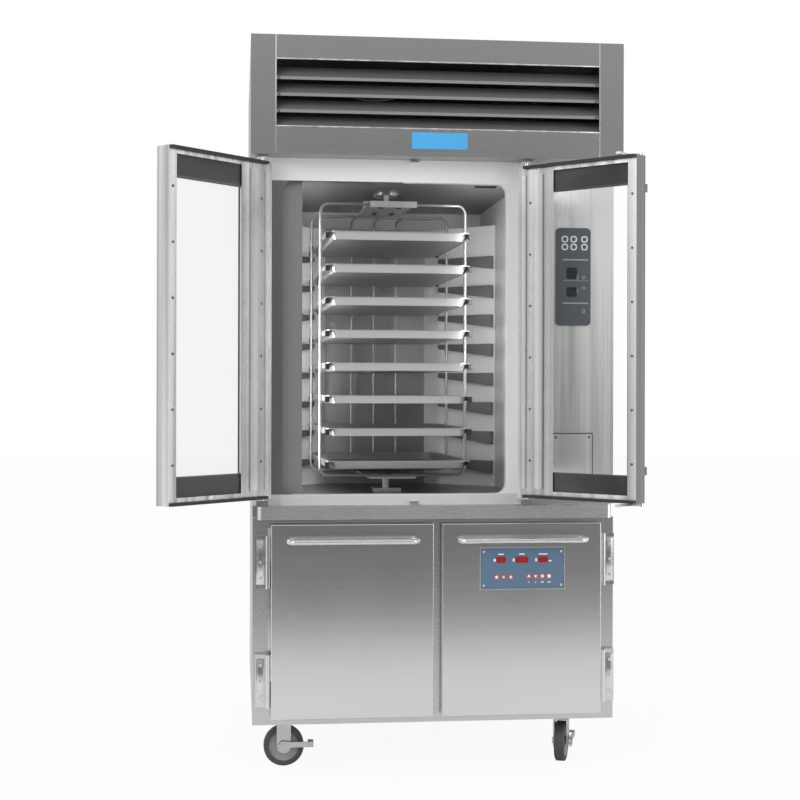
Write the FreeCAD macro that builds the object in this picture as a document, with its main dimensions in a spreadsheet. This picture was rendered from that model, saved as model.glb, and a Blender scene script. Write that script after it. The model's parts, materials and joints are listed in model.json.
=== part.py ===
import FreeCAD, Part
import math
import os
import re

from FreeCAD import Placement, Rotation, Vector

# Mini rotating rack oven standing on a two-door proofing cabinet with casters.
# Frame: X to the right, Y into the oven, Z up; origin on the floor under the cabinet's centre.
# Sizes in millimetres, angles in degrees.
SIZES = {
    # sheet metal and general fits
    "sheet_t": 1.5, "fit_gap": 0.4, "cut_over": 4.0,
    # cabinet envelope
    "body_half": 560.0, "body_depth": 1100.0, "caster_height": 150.0,
    "base_h": 628.0, "ledge_h": 41.0, "oven_h": 1059.0, "canopy_h": 357.0,
    # base chassis and posts
    "chassis_h": 22.0, "chassis_w": 40.0, "bearer_w": 120.0, "bearer_t": 6.0,
    "post_w": 46.0, "post_depth": 40.0, "centre_post_half": 34.0,
    "base_wall": 36.0, "bay_floor_rise": 18.0, "bay_roof_drop": 26.0, "bay_split_half": 17.0,
    "runner_w": 14.0, "runner_t": 3.0, "runner_len": 660.0, "runner_inset": 60.0,
    "runner_first": 92.0, "runner_pitch": 76.0, "runner_levels": 6.0,
    # humidifier at the back of the left bay
    "water_pan_w": 300.0, "water_pan_d": 180.0, "water_pan_h": 46.0, "water_pan_back": 40.0,
    "coil_r": 55.0, "coil_tube_r": 6.0, "coil_lift": 8.0,
    # proofer doors
    "base_doors_mid": 3.5, "base_door_side": 52.0, "base_split": 13.0, "base_door_rise": 24.0,
    "base_door_drop": 14.0, "base_door_t": 37.0, "base_seal_t": 6.5, "base_seal_w": 18.0,
    "base_seal_inset": 14.0, "base_seal_gap": 1.5, "base_edge_r": 3.0,
    "base_pivot_side": 9.0, "base_pivot_out": 31.0, "knuckle_r": 8.0, "hinge_pin_r": 4.0,
    "hinge_h": 160.0, "hinge_low": 115.0, "hinge_high": 115.0, "hinge_leaf_w": 30.0, "hinge_leaf_t": 18.0,
    "strap_t": 5.0, "strap_d": 20.0,
    "base_grip_len": 390.0, "base_grip_r": 8.0, "base_grip_out": 40.0, "base_grip_drop": 50.0,
    "base_grip_bend": 20.0, "grip_foot_r": 13.0, "grip_foot_t": 4.0,
    "key_panel_w": 265.0, "key_panel_h": 131.0, "key_panel_t": 3.0, "key_panel_drop": 73.0,
    # drip ledge between the oven doors and the cabinet
    "ledge_side": 15.0, "ledge_out": 45.0, "ledge_back": 60.0, "ledge_corner": 14.0,
    "trough_rim": 8.0, "trough_deep": 10.0,
    # baking chamber
    "axis_side": 446.0, "chamber_l": 398.0, "chamber_r": 404.0,
    "chamber_back": 520.0, "chamber_front_in": 31.0, "chamber_floor_rise": 16.0,
    "chamber_roof_drop": 52.0, "duct_back": 408.0, "duct_corner": 416.0,
    "duct_roof_gap": 76.0, "duct_fold": 14.0, "duct_turn": 45.0,
    "vent_off": 261.0, "vent_w": 75.0, "vent_in": 125.0, "vent_d": 60.0, "vent_rise": 30.0,
    "scoop_count": 8.0, "scoop_len": 230.0, "scoop_r": 14.0, "scoop_wall": 1.5, "scoop_drop": 40.0,
    "scoop_shift": 30.0, "front_duct_w": 102.0, "front_duct_d": 80.0,
    "service_room": 130.0, "back_wall": 45.0, "column_wall": 44.0,
    # circulation fan, heaters and motors
    "fan_z": 1300.0, "fan_r": 140.0, "fan_w": 54.0, "fan_hub_r": 34.0, "fan_disc_t": 4.0,
    "fan_blade_t": 3.0, "fan_blades": 12.0, "fan_gap": 30.0, "fan_shaft_r": 12.0, "fan_fit": 0.05,
    "fan_motor_r": 62.0, "fan_motor_len": 92.0, "motor_flange_r": 80.0, "motor_flange_t": 8.0,
    "heater_r": 190.0, "heater_tube_r": 6.5, "heater_pitch": 36.0, "heater_leg": 60.0, "heater_leg_r": 9.0,
    "gear_w": 150.0, "gear_d": 130.0, "gear_h": 110.0, "drive_motor_r": 58.0, "drive_motor_len": 150.0,
    # oven front
    "frame_w": 838.0, "frame_t": 28.0, "jamb_w": 90.0, "opening_w": 691.0,
    "opening_low": 33.0, "opening_high": 68.0, "opening_r": 32.0, "rim_w": 9.0, "rim_out": 1.0,
    "frame_wall": 3.0,
    "fascia_gap": 2.0, "fascia_t": 20.0,
    "panel_side": 184.0, "panel_w": 110.0, "panel_low": 1373.0, "panel_h": 304.0, "panel_t": 4.0,
    "panel_r": 14.0, "cover_side": 192.0, "cover_w": 124.0, "cover_low": 850.0, "cover_h": 186.0,
    "cover_t": 2.0, "cover_slot": 6.0, "electrics_w": 150.0, "electrics_h": 420.0, "electrics_d": 120.0,
    "electrics_back": 140.0,
    # oven doors
    "pivot_side_l": 28.0, "pivot_side_r": 3.0, "pivot_out": 40.0, "door_edge": 12.5,
    "door_reach": 400.0, "door_t": 51.0, "door_rise": 24.0, "door_drop": 21.0, "door_swing": 135.0,
    "hinge_stile": 79.0, "free_stile": 34.0, "top_band": 81.0, "low_band": 79.0,
    "inner_stile": 115.0, "inner_free": 28.0, "inner_top": 22.0, "inner_low": 23.0,
    "glass_t": 6.0, "glass_lap": 9.0, "door_seal_t": 13.0, "door_seal_w": 9.0, "door_seal_inset": 1.0,
    "pivot_pin_r": 6.0, "pivot_pin_in": 22.0, "pivot_plate_t": 6.0, "pivot_plate_w": 36.0,
    "pivot_front": 16.0, "pivot_foot_h": 18.0, "pivot_fit": 0.06, "bush_r": 11.0,
    # espagnolette latch on the right oven door
    "latch_in": 17.0, "latch_rod_r": 6.0, "latch_off": 9.0, "hook_len": 69.0, "hook_w": 14.0,
    "hook_t": 7.0, "hook_gap": 4.0, "latch_fit": 0.06, "guide_w": 30.0, "guide_h": 24.0, "lever_len": 130.0,
    "lever_r": 8.0, "lever_z": 1320.0, "lever_rise": 18.0, "lever_side": 18.0, "hook_arm": 40.0,
    "keeper_w": 26.0, "keeper_t": 4.0,
    "keeper_out": 20.0, "keeper_gap": 1.5,
    # canopy
    "canopy_side": 9.0, "canopy_out": 84.0, "canopy_face_t": 3.0, "canopy_post": 75.0,
    "canopy_seam": 0.8, "canopy_low_rail": 85.0, "canopy_top_rail": 74.0, "blade_count": 4.0,
    "blade_t": 1.5, "blade_lip": 9.0, "blade_deep": 62.0, "blade_tilt": 38.0, "blade_back": 3.0,
    "name_w": 170.0, "name_h": 50.0, "name_t": 2.0, "name_rise": 22.0,
    "flue_r": 75.0, "flue_h": 60.0, "flue_wall": 2.0, "flue_in": 820.0, "flue_flange": 25.0,
    "flue_flange_t": 3.0,
    # rotating rack
    "rack_turn": 1.9, "loop_half": 236.0, "loop_in": 175.5, "loop_low": 897.0, "loop_high": 1769.5,
    "rod_r": 5.0, "loop_bend": 28.0, "rear_rod_step": 80.0, "rear_rod_r": 4.0, "stop_bend": 20.0,
    "tray_levels": 8.0, "tray_first": 950.0, "tray_pitch": 102.4, "tray_half_w": 228.6,
    "tray_half_d": 330.0, "tray_h": 25.0, "tray_wall": 1.2, "tray_flare": 26.0, "tray_rim": 11.0,
    "tray_rim_t": 3.0,
    "tray_corner": 36.0, "rail_w": 12.0, "rail_h": 14.0, "rail_wall": 1.5, "rail_half_len": 312.0,
    "rail_drop": 0.2, "hanger_half": 76.0, "hanger_t": 6.0, "hanger_hole_r": 11.0, "hanger_hole_at": 45.0,
    "lip_t": 4.0, "lip_h": 14.0,
    "bridge_half": 78.0, "bridge_d": 44.0, "bridge_h": 20.0, "spindle_r": 10.0, "spindle_fit": 0.08,
    "foot_plate_half": 47.0, "foot_plate_h": 12.0, "foot_pin_r": 11.0, "ceiling_flange_r": 46.0,
    "ceiling_flange_t": 8.0,
    # casters
    "caster_inset": 133.0, "caster_front_in": 115.0, "caster_back_in": 115.0, "caster_plate": 96.0,
    "caster_plate_t": 5.0, "swivel_r": 34.0, "swivel_h": 10.0, "swivel_gap": 0.5, "wheel_r": 62.5,
    "wheel_w": 32.0, "tread_w": 26.0, "wheel_hub_r": 46.0, "hub_dish": 5.0, "caster_trail": 34.0,
    "fork_t": 4.0, "fork_gap": 3.0, "fork_w": 44.0, "axle_r": 6.0, "axle_head_r": 10.0, "axle_head_t": 5.0,
    "axle_fit": 0.08, "lever_arm": 92.0, "lever_w": 34.0, "lever_t": 4.0, "lever_lift": 6.0,
    "heading_left": 180.0, "heading_right": 250.0, "heading_back_left": 60.0, "heading_back_right": 100.0,
}

# Levels and places that follow from the sizes above.
DERIVED = {
    "front_y": "-body_depth / 2",
    "back_y": "body_depth / 2",
    "base_low": "caster_height",
    "base_top": "base_low + base_h",
    "ledge_top": "base_top + ledge_h",
    "oven_top": "ledge_top + oven_h",
    "canopy_top": "oven_top + canopy_h",
    "canopy_front": "front_y - canopy_out",
    "axis_x": "axis_side - body_half",
    "service_y": "back_y - service_room",
    "room_back": "service_y - back_wall",
    "axis_y": "room_back - chamber_back",
    "room_left": "axis_x - chamber_l",
    "room_right": "axis_x + chamber_r",
    "room_front": "front_y + chamber_front_in",
    "room_low": "ledge_top + chamber_floor_rise",
    "room_top": "oven_top - chamber_roof_drop",
    "frame_left_x": "-body_half",
    "frame_right_x": "frame_left_x + frame_w",
    "open_left": "frame_left_x + jamb_w",
    "open_right": "open_left + opening_w",
    "open_low": "ledge_top + opening_low",
    "open_high": "oven_top - opening_high",
    "pivot_left_x": "frame_left_x + pivot_side_l",
    "pivot_right_x": "frame_right_x - pivot_side_r",
    "panel_left": "body_half - panel_side",
    "cover_left": "body_half - cover_side",
    "base_door_outer": "body_half - base_door_side",
    "ledge_half": "body_half - ledge_side",
    "canopy_half": "body_half + canopy_side",
    "caster_side": "body_half - caster_inset",
    "door_low": "ledge_top + door_rise",
    "door_high": "oven_top - door_drop",
    "base_door_low": "base_low + base_door_rise",
    "base_door_high": "base_top - base_door_drop",
    "bay_low": "base_low + chassis_h + bay_floor_rise",
    "bay_high": "base_top - bay_roof_drop",
    "base_seal_back": "front_y - base_seal_gap",
    "base_door_back": "base_seal_back - base_seal_t",
    "base_door_front": "base_door_back - base_door_t",
    "base_pivot_y": "front_y - base_pivot_out",
    "duct_high": "room_top - duct_roof_gap",
    "duct_flat_half": "duct_corner * sqrt(2) - duct_back",
    "hanger_low": "loop_high + rod_r",
    "bridge_low": "hanger_low + hanger_t",
    "spindle_low": "bridge_low + bridge_h",
    "foot_high": "loop_low - rod_r",
    "door_pivot_y": "front_y - pivot_out",
}

doc = FreeCAD.newDocument("RackOven")
sheet = doc.addObject("Spreadsheet::Sheet", "Sizes")
for row, (alias, value) in enumerate(SIZES.items(), start=1):
    sheet.set(f"A{row}", alias)
    sheet.set(f"B{row}", str(value))
    sheet.setAlias(f"B{row}", alias)
for row, (alias, formula) in enumerate(DERIVED.items(), start=len(SIZES) + 1):
    sheet.set(f"A{row}", alias)
    sheet.set(f"B{row}", "=" + formula)
    sheet.setAlias(f"B{row}", alias)
doc.recompute()

NODES = []
used_names = {}


def val(alias):
    """Number held by one cell of the sheet."""
    cell = sheet.get(alias)
    return float(getattr(cell, "Value", cell))


def ref(text):
    """Expression text with every size name pointed at the sheet."""
    def point(match):
        word = match.group()
        return "Sizes." + word if word in SIZES or word in DERIVED else word
    return re.sub(r"[A-Za-z_]\w*", point, text)


def new(kind, name):
    """New document object with a name of its own."""
    used_names[name] = used_names.get(name, 0) + 1
    return doc.addObject(kind, f"{name}_{used_names[name]}")


def bind(piece, **expressions):
    """Tie properties of a piece to expressions on the sheet; x, y, z are its place."""
    for prop, text in expressions.items():
        path = f"Placement.Base.{prop}" if prop in ("x", "y", "z") else prop
        piece.setExpression(path, ref(text))
    return piece


def plate(name, x_span, y_span, z_span):
    """Flat sheet, slab or bar between two limits on each axis."""
    piece = new("Part::Box", name)
    for prop, axis, (low, high) in (("Length", "x", x_span), ("Width", "y", y_span),
                                    ("Height", "z", z_span)):
        piece.setExpression(prop, ref(f"({high}) - ({low})"))
        piece.setExpression(f"Placement.Base.{axis}", ref(low))
    return piece


AXES = {"x": Rotation(Vector(0, 1, 0), 90), "y": Rotation(Vector(1, 0, 0), -90), "z": Rotation()}


def bar(name, axis, radius, start, length, at):
    """Round bar along an axis; at gives its other two coordinates in axis order."""
    piece = new("Part::Cylinder", name)
    piece.Placement = Placement(Vector(), AXES[axis])
    others = [letter for letter in "xyz" if letter != axis]
    bind(piece, Radius=radius, Height=length, **{axis: start, others[0]: at[0], others[1]: at[1]})
    return piece


def ring(name, axis, radius, tube, at):
    """Torus round an axis; at gives its centre."""
    piece = new("Part::Torus", name)
    piece.Placement = Placement(Vector(), AXES[axis])
    return bind(piece, Radius1=radius, Radius2=tube, x=at[0], y=at[1], z=at[2])


def quarter(name, axis, side, up, bend, radius, at):
    """Quarter bend of round wire about an axis, from level on one side to upright above or below."""
    body = new("Part::Torus", name)
    level = Vector(side, 0, 0) if axis == "y" else Vector(0, side, 0)
    upright = Vector(0, 0, up)
    body.Placement = Placement(Vector(), Rotation(level, upright, level.cross(upright), "XYZ"))
    body.Angle3 = 90
    bind(body, Radius1=bend, Radius2=radius, x=at[0], y=at[1], z=at[2])
    return body


def cut(name, base, *tools):
    """Base with every tool taken away."""
    for tool in tools:
        result = new("Part::Cut", name)
        result.Base = base
        result.Tool = tool
        base = result
    return base


def fuse(name, *pieces):
    """Pieces welded into one solid."""
    result = new("Part::MultiFuse", name)
    result.Shapes = list(pieces)
    result.Refine = True
    return result


def hung(label, pieces, turn=None, at=("0", "0", "0")):
    """Group of solids, turned about the vertical and set in place."""
    group = doc.addObject("Part::Compound", label)
    group.Links = list(pieces)
    if turn is not None:
        group.Placement = Placement(Vector(), Rotation(Vector(0, 0, 1), 1))
        group.setExpression("Placement.Rotation.Angle", ref(turn))
    bind(group, x=at[0], y=at[1], z=at[2])
    return group


def node(label, pieces, turn=None, at=("0", "0", "0")):
    """Named sub-part, written to its own file."""
    group = hung(label, pieces, turn, at)
    group.Label = label
    NODES.append(group)
    return group


def mirrored(low, high, side):
    """Span of an X extent on one side: the left door as written, the right one mirrored."""
    return (low, high) if side > 0 else (f"-({high})", f"-({low})")


def origin_plane(body, role):
    """One of a body's own base planes."""
    return next(f for f in body.Origin.OriginFeatures if f.Role == role)


def sketch_on(body, name, role, offset="0"):
    """Sketch on a body's base plane, moved along its normal."""
    sketch = body.newObject("Sketcher::SketchObject", name)
    sketch.AttachmentSupport = [(origin_plane(body, role), "")]
    sketch.MapMode = "FlatFace"
    sketch.setExpression("AttachmentOffset.Base.z", ref(offset))
    return sketch


def rounded_rectangle(sketch, low_u, low_v, high_u, high_v, radius):
    """Closed rectangle with rounded corners, or sharp ones for a radius of zero."""
    corners = [(low_u, low_v, 1, 1), (high_u, low_v, -1, 1), (high_u, high_v, -1, -1),
               (low_u, high_v, 1, -1)]
    if not radius:
        points = [Vector(u, v, 0) for u, v, _, _ in corners]
        for start, end in zip(points, points[1:] + points[:1]):
            sketch.addGeometry(Part.LineSegment(start, end), False)
        return
    starts = [math.pi, 1.5 * math.pi, 0.0, 0.5 * math.pi]
    arcs = []
    for (u, v, step_u, step_v), start in zip(corners, starts):
        middle = Vector(u + step_u * radius, v + step_v * radius, 0)
        circle = Part.Circle(middle, Vector(0, 0, 1), radius)
        arcs.append(Part.ArcOfCircle(circle, start, start + math.pi / 2))
    for arc, following in zip(arcs, arcs[1:] + arcs[:1]):
        sketch.addGeometry(arc, False)
        sketch.addGeometry(Part.LineSegment(arc.EndPoint, following.StartPoint), False)


def chain(sketch, points):
    """Closed outline of straight lines through points."""
    places = [Vector(u, v, 0) for u, v in points]
    for start, end in zip(places, places[1:] + places[:1]):
        sketch.addGeometry(Part.LineSegment(start, end), False)


def pad(body, sketch, name, length, reverse=False):
    """Pad of a sketch by a length on the sheet."""
    feature = body.newObject("PartDesign::Pad", name)
    feature.Profile = sketch
    feature.setExpression("Length", ref(length))
    feature.Reversed = reverse
    return feature


def bent_tube(name, points, bend, radius):
    """Round tube through points in its own XY plane, its corners bent to a radius; ends along the last legs."""
    body = new("PartDesign::Body", name)
    path = sketch_on(body, name + "_path", "XY_Plane")
    places = [Vector(x, y, 0) for x, y in points]
    legs = []
    here = places[0]
    for before, corner, after in zip(places, places[1:], places[2:]):
        into = (corner - before).normalize()
        out = (after - corner).normalize()
        turn = into.getAngle(out)
        setback = bend * math.tan(turn / 2)
        first = corner - into * setback
        last = corner + out * setback
        middle = corner + (out - into).normalize() * (bend / math.cos(turn / 2))
        inner = middle - (out - into).normalize() * bend
        legs.append(Part.LineSegment(here, first))
        legs.append(Part.Arc(first, inner, last))
        here = last
    legs.append(Part.LineSegment(here, places[-1]))
    for leg in legs:
        path.addGeometry(leg, False)
    profile = body.newObject("Sketcher::SketchObject", name + "_section")
    profile.AttachmentSupport = [(path, "Edge1")]
    profile.MapMode = "NormalToEdge"
    profile.MapPathParameter = 0
    profile.addGeometry(Part.Circle(Vector(), Vector(0, 0, 1), radius), False)
    doc.recompute()
    pipe = body.newObject("PartDesign::AdditivePipe", name + "_pipe")
    pipe.Profile = profile
    pipe.Spine = (path, [f"Edge{index + 1}" for index in range(len(legs))])
    pipe.Transition = "Transformed"
    doc.recompute()
    return body


def build_base():
    """Proofing cabinet: chassis, posts, double walls, tray runners and humidifier."""
    floor_z = ("base_low", "base_low + chassis_h")
    wall_z = ("base_low + chassis_h", "base_top")
    behind = "front_y + post_depth"
    rails = [
        plate("rail", ("-body_half", "body_half"), ("front_y", "front_y + chassis_w"), floor_z),
        plate("rail", ("-body_half", "body_half"), ("back_y - chassis_w", "back_y"), floor_z),
        plate("rail", ("-body_half", "chassis_w - body_half"),
              ("front_y + chassis_w", "back_y - chassis_w"), floor_z),
        plate("rail", ("body_half - chassis_w", "body_half"),
              ("front_y + chassis_w", "back_y - chassis_w"), floor_z),
    ]
    inside = ("chassis_w - body_half", "body_half - chassis_w")
    for middle in ("front_y + caster_front_in", "back_y - caster_back_in"):
        rails.append(plate("bearer", inside, (f"{middle} - bearer_w / 2", f"{middle} + bearer_w / 2"),
                           ("base_low", "base_low + bearer_t")))
    posts = [
        plate("post", ("-body_half", "post_w - body_half"), ("front_y", behind), wall_z),
        plate("post", ("body_half - post_w", "body_half"), ("front_y", behind), wall_z),
        plate("post", ("base_doors_mid - centre_post_half", "base_doors_mid + centre_post_half"),
              ("front_y", behind), wall_z),
    ]
    mid_left, mid_right = "base_doors_mid - centre_post_half", "base_doors_mid + centre_post_half"
    for low, high in (("base_low + chassis_h", "bay_low"), ("bay_high", "base_top")):
        posts.append(plate("cross_rail", ("post_w - body_half", mid_left), ("front_y", behind),
                           (low, high)))
        posts.append(plate("cross_rail", (mid_right, "body_half - post_w"), ("front_y", behind),
                           (low, high)))
    node("base_chassis", rails + posts)
    skins = [
        plate("base_skin", ("-body_half", "sheet_t - body_half"), (behind, "back_y - sheet_t"), wall_z),
        plate("base_skin", ("body_half - sheet_t", "body_half"), (behind, "back_y - sheet_t"), wall_z),
        plate("base_skin", ("-body_half", "body_half"), ("back_y - sheet_t", "back_y"), wall_z),
    ]
    inner = "body_half - base_wall"
    bay_back = "back_y - base_wall"
    wool = [
        plate("base_wool", ("sheet_t - body_half", f"-({inner}) - sheet_t"), (behind, f"{bay_back}"),
              ("bay_low", "base_top")),
        plate("base_wool", (f"{inner} + sheet_t", "body_half - sheet_t"), (behind, f"{bay_back}"),
              ("bay_low", "base_top")),
        plate("base_wool", ("sheet_t - body_half", "body_half - sheet_t"),
              (f"{bay_back} + sheet_t", "back_y - sheet_t"), ("bay_low", "base_top")),
        plate("base_wool", ("sheet_t - body_half", "body_half - sheet_t"), (behind, "back_y - sheet_t"),
              ("base_low + chassis_h", "bay_low - sheet_t")),
        plate("base_wool", (f"-({inner})", inner), (behind, bay_back), ("bay_high + sheet_t", "base_top")),
    ]
    walls_z = ("bay_low", "bay_high + sheet_t")
    liner = [
        plate("bay_wall", (f"-({inner}) - sheet_t", f"-({inner})"), (behind, bay_back), walls_z),
        plate("bay_wall", (inner, f"{inner} + sheet_t"), (behind, bay_back), walls_z),
        plate("bay_wall", (f"-({inner}) - sheet_t", f"{inner} + sheet_t"),
              (bay_back, f"{bay_back} + sheet_t"), walls_z),
        plate("bay_wall", ("sheet_t - body_half", "body_half - sheet_t"), (behind, "back_y - sheet_t"),
              ("bay_low - sheet_t", "bay_low")),
        plate("bay_wall", (f"-({inner})", inner), (behind, bay_back), ("bay_high", "bay_high + sheet_t")),
        plate("bay_wall", ("base_doors_mid - bay_split_half", "base_doors_mid - bay_split_half + sheet_t"),
              (behind, bay_back), ("bay_low", "bay_high")),
        plate("bay_wall", ("base_doors_mid + bay_split_half - sheet_t", "base_doors_mid + bay_split_half"),
              (behind, bay_back), ("bay_low", "bay_high")),
    ]
    wool.append(plate("base_wool",
                      ("base_doors_mid - bay_split_half + sheet_t",
                       "base_doors_mid + bay_split_half - sheet_t"),
                      (behind, bay_back), ("bay_low", "bay_high")))
    node("base_sheets", skins + liner)
    runners = []
    run_y = (f"{behind} + runner_inset", f"{behind} + runner_inset + runner_len")
    walls = [f"-({inner})", "base_doors_mid - bay_split_half - runner_w",
             "base_doors_mid + bay_split_half", f"{inner} - runner_w"]
    for level in range(int(val("runner_levels"))):
        low = f"bay_low + runner_first + {level} * runner_pitch"
        for left in walls:
            runners.append(plate("runner", (left, f"{left} + runner_w"), run_y, (low, f"{low} + runner_t")))
    node("proofer_runners", runners)
    pan_x = f"-({inner}) / 2"
    pan_back = f"{bay_back} - water_pan_back"
    pan = plate("pan", (f"{pan_x} - water_pan_w / 2", f"{pan_x} + water_pan_w / 2"),
                (f"{pan_back} - water_pan_d", pan_back), ("bay_low", "bay_low + water_pan_h"))
    hollow = plate("pan_hollow",
                   (f"{pan_x} - water_pan_w / 2 + sheet_t", f"{pan_x} + water_pan_w / 2 - sheet_t"),
                   (f"{pan_back} - water_pan_d + sheet_t", f"{pan_back} - sheet_t"),
                   ("bay_low + sheet_t", "bay_low + water_pan_h + cut_over"))
    coil_z = "bay_low + sheet_t + coil_lift + coil_tube_r"
    pan_mid = f"{pan_back} - water_pan_d / 2"
    coil = ring("coil", "z", "coil_r", "coil_tube_r", (pan_x, pan_mid, coil_z))
    legs = [bar("coil_leg", "z", "coil_tube_r / 2", "bay_low + sheet_t", "coil_lift + coil_tube_r",
                (f"{pan_x} + {side} * coil_r", pan_mid)) for side in (-1, 1)]
    node("humidifier", [cut("water_pan_cut", pan, hollow), fuse("coil_weld", coil, *legs)])
    return wool


def build_ledge(wool):
    """Drip ledge above the proofer doors: rounded front corners, a shallow trough and a filled sheet deck."""
    slab = plate("ledge", ("-ledge_half", "ledge_half"), ("front_y - ledge_out", "front_y + ledge_back"),
                 ("base_top", "ledge_top"))
    doc.recompute()
    soft = new("Part::Fillet", "ledge_soft")
    soft.Base = slab
    front = val("front_y") - val("ledge_out")
    corners = [index + 1 for index, edge in enumerate(slab.Shape.Edges)
               if abs(edge.BoundBox.YMax - front) < val("fit_gap")
               and edge.BoundBox.ZLength > val("ledge_h") / 2]
    soft.Edges = [(index, val("ledge_corner"), val("ledge_corner")) for index in corners]
    trough = plate("trough", ("trough_rim - ledge_half", "ledge_half - trough_rim"),
                   ("front_y - ledge_out + trough_rim", "front_y - trough_rim"),
                   ("ledge_top - trough_deep", "ledge_top + cut_over"))
    hollow = plate("ledge_hollow", ("trough_rim - ledge_half", "ledge_half - trough_rim"),
                   ("front_y - ledge_out + trough_rim", "front_y + ledge_back - trough_rim"),
                   ("base_top - cut_over", "ledge_top - trough_deep - sheet_t"))
    deck_y = ("front_y + ledge_back", "back_y")
    core_z = ("base_top + sheet_t", "ledge_top - sheet_t")
    deck = [
        plate("deck", ("-body_half", "body_half"), deck_y, ("base_top", "base_top + sheet_t")),
        plate("deck", ("-body_half", "body_half"), deck_y, ("ledge_top - sheet_t", "ledge_top")),
        plate("deck", ("-body_half", "sheet_t - body_half"), deck_y, core_z),
        plate("deck", ("body_half - sheet_t", "body_half"), deck_y, core_z),
        plate("deck", ("sheet_t - body_half", "body_half - sheet_t"), ("back_y - sheet_t", "back_y"),
              core_z),
        plate("deck", ("sheet_t - body_half", "body_half - sheet_t"),
              ("front_y + ledge_back", "front_y + ledge_back + sheet_t"), core_z),
    ]
    node("drip_ledge", [cut("ledge_cut", soft, trough, hollow)] + deck)
    wool.append(plate("deck_wool", ("sheet_t - body_half", "body_half - sheet_t"),
                      ("front_y + ledge_back + sheet_t", "back_y - sheet_t"), core_z))


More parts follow.
